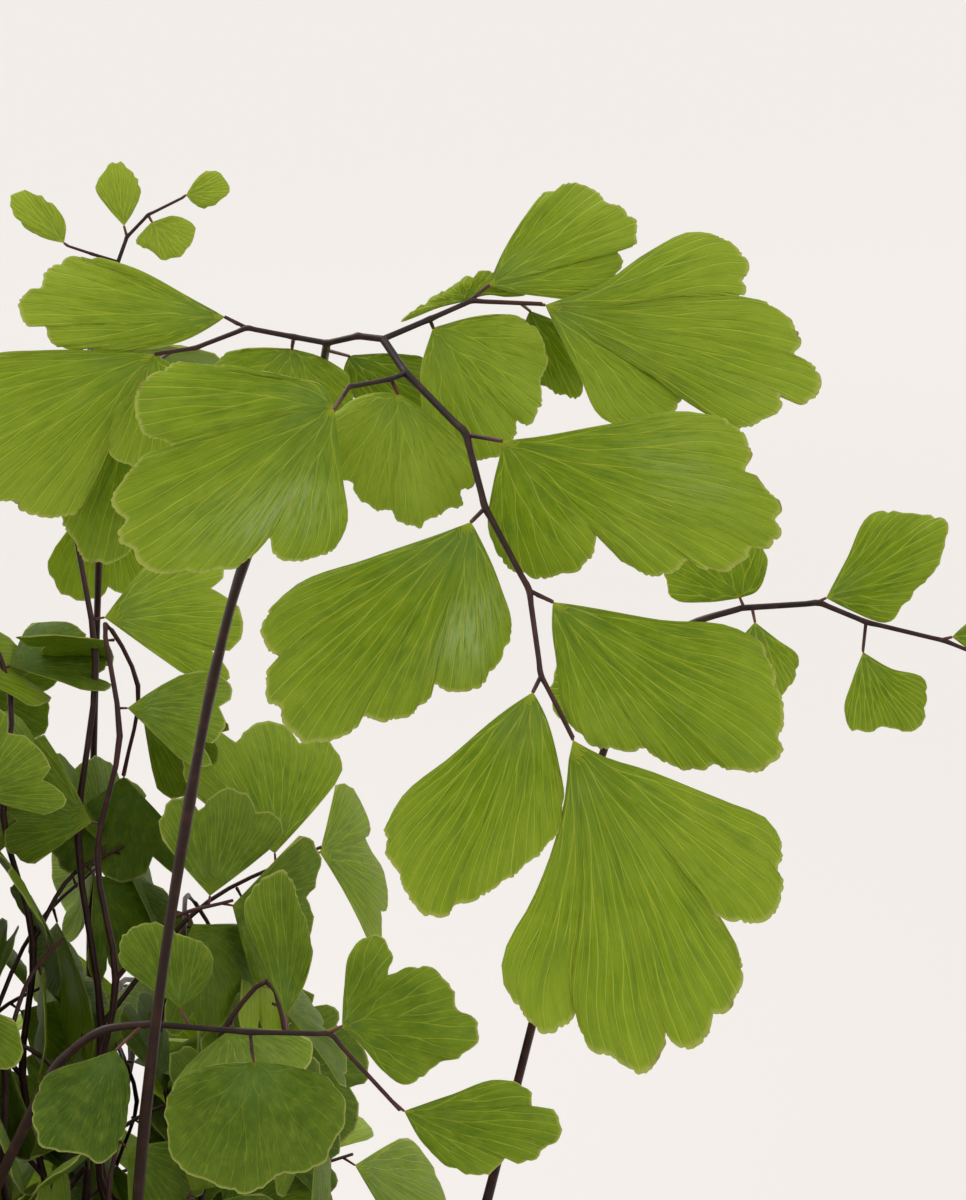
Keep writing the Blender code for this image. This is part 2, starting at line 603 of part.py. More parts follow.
def picture_stipe(frond):
    """Stipe from the soil up to the rachis: one bow to its lowest picture point, then the others."""
    root = np.array((*frond["root"], 0.0)) * MM + UP * (SOIL_LEVEL - STEM_HOLE_DEPTH)
    shown = picture_path(frond["stipe"])[::-1]
    reach = np.linalg.norm(shown[0] - root)
    corner = shown[0] - unit(shown[1] - shown[0]) * reach * STIPE_BOW
    t = (np.arange(STIPE_STEPS) / STIPE_STEPS)[:, None]
    return np.concatenate((root * (1 - t) ** 2 + 2 * corner * t * (1 - t) + shown[0] * t ** 2, shown))


class Crowd:
    """What has been placed so far, so that each new piece can be tried against it."""

    def __init__(self):
        self.placed = []

    def add(self, owner, whole, outer=None):
        self.placed.append((owner, guard_of(whole), guard_of(outer or whole)))

    def free(self, owner, whole, outer):
        """Whether a piece is clear of other fronds, and its outer part of its own frond."""
        whole = guard_of(whole)
        outer = guard_of(outer)
        for other, other_whole, other_outer in self.placed:
            mine, theirs = (outer, other_outer) if other == owner else (whole, other_whole)
            if boxes_meet(mine, theirs) and mine[0].overlap(theirs[0]):
                return False
        return True


def guard_of(shape):
    vertices, faces = shape
    tree = BVHTree.FromPolygons([Vector(v) for v in vertices], faces)
    return tree, vertices.min(axis=0), vertices.max(axis=0)


def boxes_meet(one, other):
    return bool(np.all(one[1] <= other[2]) and np.all(other[1] <= one[2]))


def guard_tube(path, radius):
    return tube(path, [radius + GUARD] * len(path), GUARD_SIDES)


class Frond:
    """A frond that grows by the rule: its stem, then its branches, then its leaflets."""

    def __init__(self, name, plan, azimuth):
        self.name = name
        self.plan = plan
        self.azimuth = azimuth
        self.shapes = []
        self.main = None

    def draws(self, *labels):
        return random.Random("-".join(map(str, (self.name, *labels))))

    def bearings(self, turn):
        """Outward and sideways directions of the frond's upright plane."""
        angle = math.radians(self.azimuth + turn)
        outward = np.array((math.cos(angle), math.sin(angle), 0.0))
        return outward, np.cross(UP, outward)

    def stem_path(self, attempt):
        """Bare stipe that rises from the soil, then the arching rachis with a bend at each node."""
        draws = self.draws("stem", attempt)
        plan = self.plan
        turn = (attempt + 1) // 2 * (STEM_TURN_STEP if attempt % 2 else -STEM_TURN_STEP)
        self.outward, self.sideways = self.bearings(turn)
        tall = 1 + plan["tall"] * math.cos(math.radians(self.azimuth) - TALL_SIDE)
        rise = plan["rise"] * MM * tall * draws.uniform(*RISE_VARY)
        reach = plan["reach"] * MM * draws.uniform(*REACH_VARY)
        sway = draws.uniform(-SWAY, SWAY)
        root = plan["root"] * MM
        (low_reach, low_rise), (high_reach, high_rise) = STEM_BENDS
        corners = (
            self.outward * root + UP * (SOIL_LEVEL - STEM_HOLE_DEPTH),
            self.outward * (root + low_reach * reach) + UP * (low_rise * rise),
            self.outward * (high_reach * reach) + UP * (high_rise * rise) + self.sideways * sway,
            self.outward * reach + UP * (rise - plan["drop"] * MM) + self.sideways * sway,
        )
        steps = NODE_SHRINK ** np.arange(plan["nodes"])
        rachis = BARE_SHARE + (1 - BARE_SHARE) * np.cumsum(steps) / steps.sum()
        stipe = np.linspace(0, BARE_SHARE, STIPE_STEPS + 1)
        path = along_bezier(corners, np.concatenate((stipe, rachis)))
        bends = ZIGZAG * (-1.0) ** np.arange(plan["nodes"] + 1)
        path[STIPE_STEPS:] += np.outer(bends, self.sideways)
        return path

    def grow_stem(self, crowd):
        for attempt in range(TRIES):
            path = self.stem_path(attempt)
            radii = self.stem_radii(len(path))
            guard = guard_tube(path, STIPE_RADIUS)
            if crowd.free(self.name, guard, guard):
                self.main = path
                self.shapes.append(tube(path, radii))
                crowd.add(self.name, guard)
                return
        raise RuntimeError(f"no room for the stem of {self.name}")

    def stem_radii(self, count):
        rachis = np.linspace(RACHIS_RADIUS, STALK_RADIUS, count - STIPE_STEPS)
        return np.concatenate((np.linspace(STIPE_RADIUS, RACHIS_RADIUS, STIPE_STEPS + 1)[:-1], rachis))

    def frame_at(self, index):
        """Ahead, sideways and face directions of the rachis at a point."""
        before = self.main[max(index - 1, 0)]
        after = self.main[min(index + 1, len(self.main) - 1)]
        ahead = unit(after - before)
        side = unit(self.sideways - ahead * self.sideways.dot(ahead))
        return ahead, side, np.cross(ahead, side)

    def branch_path(self, index, hand, rank, attempt):
        draws = self.draws("branch", index, attempt)
        ahead, side, face = self.frame_at(index)
        spread = SPREAD + draws.uniform(-BRANCH_TURN, BRANCH_TURN) * (1 + attempt)
        lift = draws.uniform(*BRANCH_LIFT) * (1 + attempt * BRANCH_LIFT_STEP)
        heading = unit(ahead * math.cos(spread) + side * hand * math.sin(spread) + face * lift)
        length = BRANCH_LENGTH * BRANCH_SHRINK ** rank * draws.uniform(*BRANCH_VARY)
        start = past(self.main, index)
        steps = np.array((0.0, 0.5, 1.0)) * length
        return np.array([start + heading * s - UP * BRANCH_SAG * s * s / length for s in steps])

    def grow_branch(self, crowd, index, hand, rank):
        for attempt in range(TRIES):
            path = self.branch_path(index, hand, rank, attempt)
            guard = guard_tube(path, BRANCH_RADIUS)
            outer = guard_tube(np.array((past(path, 0, FREE_FROM), path[1], path[2])), BRANCH_RADIUS)
            if crowd.free(self.name, guard, outer):
                self.shapes.append(tube(path, (BRANCH_RADIUS, BRANCH_RADIUS, STALK_RADIUS)))
                crowd.add(self.name, guard, outer)
                return path
        return None

    def leaflet_points(self, label, spot, ahead, side, face, hand, size, attempt):
        """Outline of a fan leaflet, flat and in space, and the lift of its faces."""
        draws = self.draws(label, attempt)
        spread = LEAFLET_SPREAD * abs(hand) + draws.uniform(-LEAFLET_TURN, LEAFLET_TURN)
        heading = ahead * math.cos(spread) + side * (hand or 1) * math.sin(spread) - UP * HANG
        face = unit(face + self.outward_at(spot) * FACE_OUT)
        face = unit(face + ahead * draws.uniform(-LEAFLET_TILT, LEAFLET_TILT))
        heading = unit(heading - face * face.dot(heading))
        roll = draws.uniform(-1, 1) * (LEAFLET_ROLL + LEAFLET_ROLL_STEP * attempt)
        level = np.cross(heading, face)
        across = level * math.cos(roll) + face * math.sin(roll)
        up = face * math.cos(roll) - level * math.sin(roll)
        flat = fan_outline(draws, size * (1 - LEAFLET_SIZE_STEP * attempt), hand)
        droop, cup, twist = draws.uniform(*DROOP), draws.uniform(*CUP), draws.uniform(*TWIST)
        x, y = flat[:, 0], flat[:, 1]
        warp = (-droop * y * y + cup * x * x + twist * x * y) / size
        points = spot + np.outer(x, across) + np.outer(y, heading) + np.outer(warp, up)
        return flat, points, up

    def outward_at(self, spot):
        """Level direction away from the pot's axis, and from the frond's own plane near it."""
        return unit(np.array((spot[0], spot[1], 0.0)) + self.outward * OUTWARD_PULL)

    def grow_leaflet(self, crowd, label, spot, frame, hand, size):
        for attempt in range(TRIES):
            flat, points, up = self.leaflet_points(label, spot, *frame, hand, size, attempt)
            whole = guard_blade(flat, points, up)
            free_points = points.copy()
            free_points[0] += ((points[1] + points[-1]) / 2 - points[0]) * FREE_FROM
            outer = guard_blade(flat, free_points, up)
            if crowd.free(self.name, whole, outer):
                self.shapes.append(blade(flat, points, up * BLADE / 2))
                crowd.add(self.name, whole, outer)
                return

    def grow_branch_leaflets(self, crowd, rank, path):
        """One leaflet to each side of a branch, and one at its end."""
        heading = unit(path[2] - path[1])
        hand = -1 if rank % 2 else 1
        _, _, face = self.frame_at(STIPE_STEPS + rank)
        face = unit(face - heading * face.dot(heading))
        frame = (heading, np.cross(face, heading), face)
        spots = ((past(path, 1), hand), (past(path, 1, FAR_SHARE), -hand), (path[2] - heading * SINK, 0))
        for i, (spot, side) in enumerate(spots):
            self.grow_leaflet(crowd, f"branch{rank}leaf{i}", spot, frame, side, self.plan["size"] * MM)

    def grow_rachis_leaflets(self, crowd):
        """A leaflet at each node past the branches, smaller toward the tip, and one at the end."""
        size = self.plan["size"] * MM
        first = STIPE_STEPS + self.plan["branches"]
        last = len(self.main) - 1
        for index in range(first, last):
            hand = -1 if (index - STIPE_STEPS) % 2 else 1
            small = size * (1 - TIP_SHRINK * (index - first))
            spot = past(self.main, index)
            self.grow_leaflet(crowd, f"leaf{index}", spot, self.frame_at(index), hand, small)
        frame = self.frame_at(last)
        self.grow_leaflet(crowd, f"leaf{last}", self.main[last] - frame[0] * SINK, frame, 0, size)

    def grow_branches(self, crowd):
        paths = []
        for rank in range(self.plan["branches"]):
            hand = -1 if rank % 2 else 1
            paths.append(self.grow_branch(crowd, STIPE_STEPS + rank, hand, rank))
        return paths

    def build(self):
        return join_shapes(self.name, self.shapes)


def past(path, index, share=JOIN_PAST):
    """Point a share of the way from one point of a stem to its next."""
    return path[index] * (1 - share) + path[index + 1] * share


def along_bezier(corners, shares):
    """Points on a cubic curve at shares of its length."""
    t = np.linspace(0, 1, CURVE_STEPS + 1)[:, None]
    a, b, c, d = corners
    curve = a * (1 - t) ** 3 + 3 * b * (1 - t) ** 2 * t + 3 * c * (1 - t) * t ** 2 + d * t ** 3
    lengths = np.linalg.norm(np.diff(curve, axis=0), axis=1)
    travelled = np.concatenate(((0.0,), np.cumsum(lengths))) / lengths.sum()
    return np.stack([np.interp(shares, travelled, curve[:, i]) for i in range(3)], axis=1)


def fan_outline(draws, size, hand):
    """Neck, corner, three lobes with a notch between each two, and the other corner."""
    half = draws.uniform(*FAN_HALF)
    skew = draws.uniform(*FAN_SKEW) * (hand or draws.choice((-1, 1)))
    flat = [(0.0, 0.0)]
    for place, reach in LOBES:
        radius = size * (reach + skew * place) * draws.uniform(*LOBE_VARY)
        angle = half * place + draws.uniform(-LOBE_TURN, LOBE_TURN)
        flat.append((radius * math.sin(angle), radius * math.cos(angle)))
    return np.array(flat)


def guard_blade(flat, points, up):
    """A leaflet's slab with some air round it."""
    middle = points.mean(axis=0)
    grown = middle + (points - middle) * GUARD_GROWTH
    return blade(flat, grown, up * (BLADE / 2 + GUARD))


def join_shapes(name, shapes):
    frond = solid(name, *shapes[0])
    boolean(frond, [solid("piece", *shape) for shape in shapes[1:]], "UNION")
    frond.data.materials.append(finish(name, "leaf"))
    return frond


def make_picture_frond(name, frond, crowd):
    """A frond of the picture, laid out from its points. Returns its stipe's lowest two points."""
    stipe = picture_stipe(frond)
    shapes = [tube(stipe, np.linspace(STIPE_RADIUS, RACHIS_RADIUS, len(stipe)))]
    crowd.add(name, guard_tube(stipe, STIPE_RADIUS))
    for radius, path in frond["stems"].values():
        points = picture_path(path)
        shapes.append(tube(points, [radius * MM] * len(points)))
        crowd.add(name, guard_tube(points, radius * MM))
    for leaflet in frond["leaflets"].values():
        shapes.append(picture_leaflet(leaflet))
        crowd.add(name, shapes[-1])
    join_shapes(name, shapes)
    return stipe[:2]


def plan_fronds():
    fronds = []
    for ring in RINGS:
        for i in range(ring["count"]):
            fronds.append(Frond(f"frond_{len(fronds) + 1:02d}", ring, ring["start"] + i * ring["turn"]))
    return fronds


def main():
    clear_scene()
    crowd = Crowd()
    roots = [make_picture_frond(name, frond, crowd) for name, frond in PICTURE_FRONDS.items()]
    fronds = plan_fronds()
    for frond in fronds:
        frond.grow_stem(crowd)
    branches = [frond.grow_branches(crowd) for frond in fronds]
    for frond, paths in zip(fronds, branches):
        for rank, path in enumerate(paths):
            if path is not None:
                frond.grow_branch_leaflets(crowd, rank, path)
        frond.grow_rachis_leaflets(crowd)
        frond.build()
    make_soil(roots + [frond.main[:2] for frond in fronds])
    make_pot()


main()
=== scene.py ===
import math
import random
import bpy
import numpy as np
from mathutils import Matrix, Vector


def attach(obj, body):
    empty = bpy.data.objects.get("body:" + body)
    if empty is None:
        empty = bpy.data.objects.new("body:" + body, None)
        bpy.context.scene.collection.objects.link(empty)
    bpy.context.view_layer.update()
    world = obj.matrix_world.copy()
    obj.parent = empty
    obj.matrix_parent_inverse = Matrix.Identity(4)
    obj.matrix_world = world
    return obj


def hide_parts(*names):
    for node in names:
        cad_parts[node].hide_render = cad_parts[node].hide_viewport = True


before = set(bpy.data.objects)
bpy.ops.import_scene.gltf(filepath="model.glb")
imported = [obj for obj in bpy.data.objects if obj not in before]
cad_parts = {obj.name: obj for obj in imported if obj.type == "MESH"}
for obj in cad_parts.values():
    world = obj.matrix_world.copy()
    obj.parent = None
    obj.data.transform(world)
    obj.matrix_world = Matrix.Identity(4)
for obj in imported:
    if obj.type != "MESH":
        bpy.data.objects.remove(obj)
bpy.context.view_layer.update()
mm = 0.001
fullTurn = 2 * math.pi
upward = np.array((0.0, 0.0, 1.0))


# A vector divided by its length, for whole arrays too.
def unit(vectors):
    return vectors / np.linalg.norm(vectors, axis=-1, keepdims=True)


# Running length of a path: the sum of the steps between its points.
def runningLength(path):
    steps = np.linalg.norm(np.diff(path, axis=0), axis=1)
    return np.concatenate(((0.0,), np.cumsum(steps)))


# Points at given shares of a path's length, read off between its points.
def atShares(path, shares):
    lengths = runningLength(path)
    return np.stack([np.interp(shares * lengths[-1], lengths, column) for column in path.T], axis=1)


# Curve through points: each span is a cubic whose slopes are the path's slopes at its two ends.
def smoothPath(points, steps):
    points = np.asarray(points, dtype=float)
    lengths = runningLength(points)
    slopes = np.gradient(points, lengths, axis=0)
    span = np.diff(lengths)[:, None, None]
    t = (np.arange(steps) / steps)[None, :, None]
    start, end = points[:-1, None], points[1:, None]
    leave, arrive = slopes[:-1, None] * span, slopes[1:, None] * span
    curve = start * (2 * t**3 - 3 * t**2 + 1) + end * (3 * t**2 - 2 * t**3)
    curve = curve + leave * (t**3 - 2 * t**2 + t) + arrive * (t**3 - t**2)
    return np.concatenate((curve.reshape(-1, points.shape[1]), points[-1:]))


# Curve led by a bend: start, bend and end in shares of (1 - t) squared, 2 t (1 - t) and t squared.
def bentCurve(start, bend, end, t):
    return start * (1 - t) ** 2 + 2 * bend * t * (1 - t) + end * t**2


# Angles all around in even steps.
def around(sides):
    return np.arange(sides) * fullTurn / sides


# Smooth step: 3 x squared less 2 x cubed, with x held between 0 and 1.
def ease(value, low, high):
    x = np.clip((value - low) / (high - low), 0, 1)
    return x * x * (3 - 2 * x)


# Piece from a shell: its points, four-cornered and three-cornered faces and named point values.
def addPiece(name, shell, material, sharpAngle=1.0):
    quads, triangles = shell["quads"], shell["triangles"]
    mesh = bpy.data.meshes.new(name)
    mesh.vertices.add(len(shell["points"]))
    mesh.vertices.foreach_set("co", shell["points"].astype(np.float32).ravel())
    corners = np.concatenate((quads.ravel(), triangles.ravel())).astype(np.int32)
    sizes = np.concatenate((np.full(len(quads), 4), np.full(len(triangles), 3)))
    mesh.loops.add(len(corners))
    mesh.loops.foreach_set("vertex_index", corners)
    mesh.polygons.add(len(sizes))
    mesh.polygons.foreach_set("loop_start", (np.cumsum(sizes) - sizes).astype(np.int32))
    mesh.update(calc_edges=True)
    mesh.validate()
    mesh.shade_smooth()
    mesh.set_sharp_from_angle(angle=sharpAngle)
    for label, values in shell["facts"].items():
        layer = mesh.attributes.new(label, "FLOAT_VECTOR", "POINT")
        layer.data.foreach_set("vector", values.astype(np.float32).ravel())
    mesh.materials.append(material)
    piece = bpy.data.objects.new(name, mesh)
    bpy.context.scene.collection.objects.link(piece)
    print(name, "triangles", len(triangles) + 2 * len(quads))
    return piece


# Several shells as one: their points follow each other and their faces are counted on.
def joinShells(shells):
    starts = np.cumsum([0] + [len(shell["points"]) for shell in shells[:-1]])
    joined = {"points": np.concatenate([shell["points"] for shell in shells])}
    for key in ("quads", "triangles"):
        joined[key] = np.concatenate([shell[key] + start for shell, start in zip(shells, starts)])
    joined["facts"] = {}
    for label in shells[0]["facts"]:
        joined["facts"][label] = np.concatenate([shell["facts"][label] for shell in shells])
    return joined


# Faces between rows of closed rings: each is one step round a ring and one step on to the next ring.
def ringQuads(rows, sides):
    here = np.arange(sides)
    there = (here + 1) % sides
    first = (np.arange(rows - 1) * sides)[:, None]
    corners = (first + here, first + there, first + sides + there, first + sides + here)
    return np.stack(corners, axis=-1).reshape(-1, 4)


# Closed shell of rings: a fan of triangles joins the first and the last ring to its end point.
def ringShell(rings, ends, facts):
    rows, sides, _ = rings.shape
    here = np.arange(sides)
    there = (here + 1) % sides
    pole = np.full(sides, rows * sides)
    last = (rows - 1) * sides
    fans = (np.stack((pole, there, here), axis=1), np.stack((pole + 1, last + here, last + there), axis=1))
    return {"points": np.concatenate((rings.reshape(-1, 3), ends)), "quads": ringQuads(rows, sides),
            "triangles": np.concatenate(fans), "facts": facts}


# Thin closed blade on a grid of points: both faces stand half the thickness off it, along its normal,
# the crosswise slope times the lengthwise slope. All rows meet in one point at the base.
def bladeShell(base, grid, thickness, facts):
    rows, columns, _ = grid.shape
    whole = np.concatenate((np.broadcast_to(base, (1, columns, 3)), grid))
    crosswise = np.gradient(whole, axis=1)[1:]
    lengthwise = np.gradient(whole, axis=0)[1:]
    neverZero = 1e-12
    normal = unit(np.cross(crosswise, lengthwise) + neverZero)
    lift = normal * thickness / 2
    rings = np.concatenate((grid + lift, (grid - lift)[:, ::-1]), axis=1)
    both = 2 * columns
    last = (rows - 1) * both
    step = last + np.arange(columns - 1)
    back = last + both - 1 - np.arange(columns - 1)
    rim = np.stack((step, step + 1, back - 1, back), axis=1)
    here = np.arange(both)
    pole = np.stack((np.full(both, rows * both), (here + 1) % both, here), axis=1)
    doubled = {}
    for label, values in facts.items():
        faces = np.concatenate((values, values[:, ::-1]), axis=1).reshape(-1, 3)
        doubled[label] = np.concatenate((faces, values[:1, :1].reshape(1, 3)))
    return {"points": np.concatenate((rings.reshape(-1, 3), base[None])),
            "quads": np.concatenate((ringQuads(rows, both), rim)), "triangles": pole, "facts": doubled}


tubeForm = {"guide": (0.31, 0.24, 0.92), "capShare": 0.5}


# Round closed tube: each point of the path carries a ring of its own radius, square to the path.
def tubeShell(path, radii, redness, sides):
    ahead = unit(np.gradient(path, axis=0))
    side = unit(np.cross(ahead.mean(axis=0), np.array(tubeForm["guide"])))
    across = unit(side - ahead * (ahead @ side)[:, None])
    over = np.cross(ahead, across)
    angle = around(sides)
    radii = np.asarray(radii)[:, None, None]
    wheel = across[:, None] * np.cos(angle)[None, :, None] + over[:, None] * np.sin(angle)[None, :, None]
    cap = radii[:, 0] * tubeForm["capShare"]
    ends = np.stack((path[0] - ahead[0] * cap[0], path[-1] + ahead[-1] * cap[-1]))
    redness = np.repeat(np.asarray(redness, dtype=float), sides)
    redness = np.concatenate((redness, redness[:1], redness[-1:]))
    bark = np.stack((redness, redness * 0, redness * 0), axis=1)
    return ringShell(path[:, None] + wheel * radii, ends, {"bark": bark})


print("helpers ready")

materialLooks = {
    "leaf": {
        "dark": (0.118, 0.205, 0.010, 1), "mid": (0.205, 0.305, 0.004, 1),
        "light": (0.35, 0.45, 0.042, 1),
        # The next two colours are painted light: a shaded green for painted shade and a pale silvery green
        # for a painted sheen.
        "shade": (0.04, 0.088, 0.010, 1), "paintedSheen": (0.31, 0.41, 0.125, 1),
        "vein": (0.50, 0.585, 0.06, 1), "edge": (0.52, 0.52, 0.15, 1), "brown": (0.16, 0.065, 0.03, 1),
        "through": (0.50, 0.64, 0.02, 1), "bluish": (0.125, 0.235, 0.062, 1),
        "wanderNoise": 160, "wander": 0.07, "forks": (0.0, 0.18, 0.42), "forkSpread": 0.16,
        "forkLength": 0.26, "forkSeed": 37.0, "fold": 0.25, "veinHalf": (0.02, 0.085, 1.0, 0.0),
        "veinFrom": (0.02, 0.16, 0.25, 1.0), "veinTone": (0.55, 0.6), "veinMost": 0.6,
        "streakPaces": (7.0, 3.5, 9.0), "streakNoise": (1.0, 5.0, 0.7), "streakMid": (0.34, 0.56),
        "streakLight": (0.55, 0.8, 0.0, 0.55), "creasePaces": (26.0, 6.0, 1.0),
        "creaseNoise": (1.0, 2.0, 0.6), "creaseShade": (0.36, 0.5, 0.42, 0.0),
        "ridgeHighlight": (0.56, 0.72, 0.0, 0.3), "blotchNoise": (110, 3.0), "blotch": (0.35, 0.7),
        "blotchShare": 0.35, "baseFade": (0.08, 0.5, 0.45, 0.0), "baseBlotch": (0.3, 0.6),
        "grainNoise": (750, 3.0, 0.6), "grain": (0.4, 0.7), "grainShare": 0.2, "outer": (0.6, 1.0),
        "outerTone": (0.3, 0.34), "sheenStreaks": (0.38, 0.6, 0.12, 1.0), "edgeFrom": (0.975, 0.996, 0.0, 0.6),
        "scorchFrom": (0.975, 1.0), "scorchNoise": 420, "scorch": (0.6, 0.7), "scorchShare": 0.5,
        "baseBrown": (0.015, 0.09, 0.8, 0.0), "fineNoise": (1400, 2.0), "creaseHigh": 0.5,
        "veinHigh": -0.55, "fineHigh": 0.22, "bump": (0.6, 0.0003), "rough": (0.35, 0.27),
        "glossSmooth": 0.12, "mirror": 0.14, "passShare": 0.55, "glowShare": 0.36,
    },
    "stem": {
        "dark": (0.012, 0.0065, 0.006, 1), "red": (0.115, 0.035, 0.026, 1), "mottleNoise": (700, 3.0),
        "mottle": (0.45, 0.75), "mottleShare": 0.22, "rough": 0.36, "mirror": 0.18,
        "bump": (0.25, 0.0001),
    },
    "clay": {
        "deep": (0.36, 0.135, 0.068, 1), "mid": (0.52, 0.225, 0.12, 1), "pale": (0.66, 0.46, 0.35, 1),
        "grainNoise": (900, 3.0), "grain": (0.62, 0.72, 0.0, 0.35), "warmNoise": (22, 4.0),
        "warm": (0.35, 0.65), "footBloom": (0.0, 0.03, 0.75, 0.0),
        "collarBloom": (0.06, 0.0745, 0.0, 0.5),
        "bloomNoise": (55, 5.0), "bloom": (0.42, 0.62), "rough": 0.86, "mirror": 0.25,
        "bump": (0.5, 0.0003),
    },
    "soil": {
        "dark": (0.018, 0.011, 0.007, 1), "mid": (0.055, 0.033, 0.019, 1),
        "pale": (0.16, 0.115, 0.075, 1),
        "crumbNoise": (420, 5.0, 0.7), "crumb": (0.4, 0.62), "fibreNoise": 260,
        "fibre": (0.64, 0.72, 0.0, 0.7), "rough": 0.93, "mirror": 0.2, "bump": (0.9, 0.0008),
    },
}


# Material with its nodes. Each input is a number, a colour or another node's output.
class Looks:
    # Material without nodes yet, and the place on the piece that its textures follow.
    def __init__(self, name):
        self.material = bpy.data.materials.new(name)
        self.material.use_nodes = True
        self.tree = self.material.node_tree
        self.tree.nodes.clear()
        self.place = self.add("ShaderNodeTexCoord").outputs["Object"]

    # Node of a kind, with its inputs joined or filled in.
    def add(self, kind, inputs=None, **settings):
        made = self.tree.nodes.new(kind)
        for key, value in settings.items():
            setattr(made, key, value)
        for socket, value in (inputs or {}).items():
            if isinstance(value, bpy.types.NodeSocket):
                self.tree.links.new(value, made.inputs[socket])
            else:
                made.inputs[socket].default_value = value
        return made

    # One step of arithmetic on values.
    def math(self, operation, *values):
        return self.add("ShaderNodeMath", dict(enumerate(values)), operation=operation).outputs[0]

    # One value plus the other.
    def plus(self, one, other):
        return self.math("ADD", one, other)

    # One value less the other.
    def less(self, one, other):
        return self.math("SUBTRACT", one, other)

    # One value times the other.
    def times(self, one, other):
        return self.math("MULTIPLY", one, other)

    # First value times the second, plus the third.
    def timesPlus(self, one, other, extra):
        return self.math("MULTIPLY_ADD", one, other, extra)

    # The value, or nothing where it is below zero.
    def positive(self, value):
        return self.math("MAXIMUM", value, 0.0)

    # Smooth step from one value to another while the input runs between two ends.
    def ranged(self, value, low, high, first=0.0, last=1.0):
        ends = {"Value": value, "From Min": low, "From Max": high, "To Min": first, "To Max": last}
        return self.add("ShaderNodeMapRange", ends, interpolation_type="SMOOTHSTEP").outputs["Result"]

    # Colour on the way from one to the other, by a share.
    def blended(self, share, one, other):
        return self.add("ShaderNodeMix", {"Factor": share, 6: one, 7: other}, data_type="RGBA").outputs[2]

    # Cloudy noise with so many waves to a metre.
    def speckle(self, scale, detail=2.0, rough=0.5, place=None):
        inputs = {"Vector": place or self.place, "Scale": scale, "Detail": detail, "Roughness": rough}
        return self.add("ShaderNodeTexNoise", inputs).outputs["Fac"]

    # The three numbers of a vector.
    def parts(self, vector):
        return self.add("ShaderNodeSeparateXYZ", {0: vector}).outputs

    # The three numbers of a named point value of the piece.
    def pointFacts(self, label):
        return self.parts(self.add("ShaderNodeAttribute", attribute_name=label).outputs["Vector"])

    # Vector of three values.
    def vector(self, *values):
        return self.add("ShaderNodeCombineXYZ", dict(enumerate(values))).outputs[0]

    # Facing of a surface that is tilted by the slope of a height.
    def bump(self, strength, distance, height):
        inputs = {"Strength": strength, "Distance": distance, "Height": height}
        return self.add("ShaderNodeBump", inputs).outputs[0]

    # Plain surface: its colour, roughness, share of mirror light and bumps.
    def skin(self, body, rough, mirror, normal=None):
        inputs = {"Base Color": body, "Roughness": rough, "Specular IOR Level": mirror}
        if normal:
            inputs["Normal"] = normal
        return self.add("ShaderNodeBsdfPrincipled", inputs).outputs[0]

    # The material, with the surface as its output.
    def finished(self, surface):
        self.add("ShaderNodeOutputMaterial", {0: surface})
        return self.material


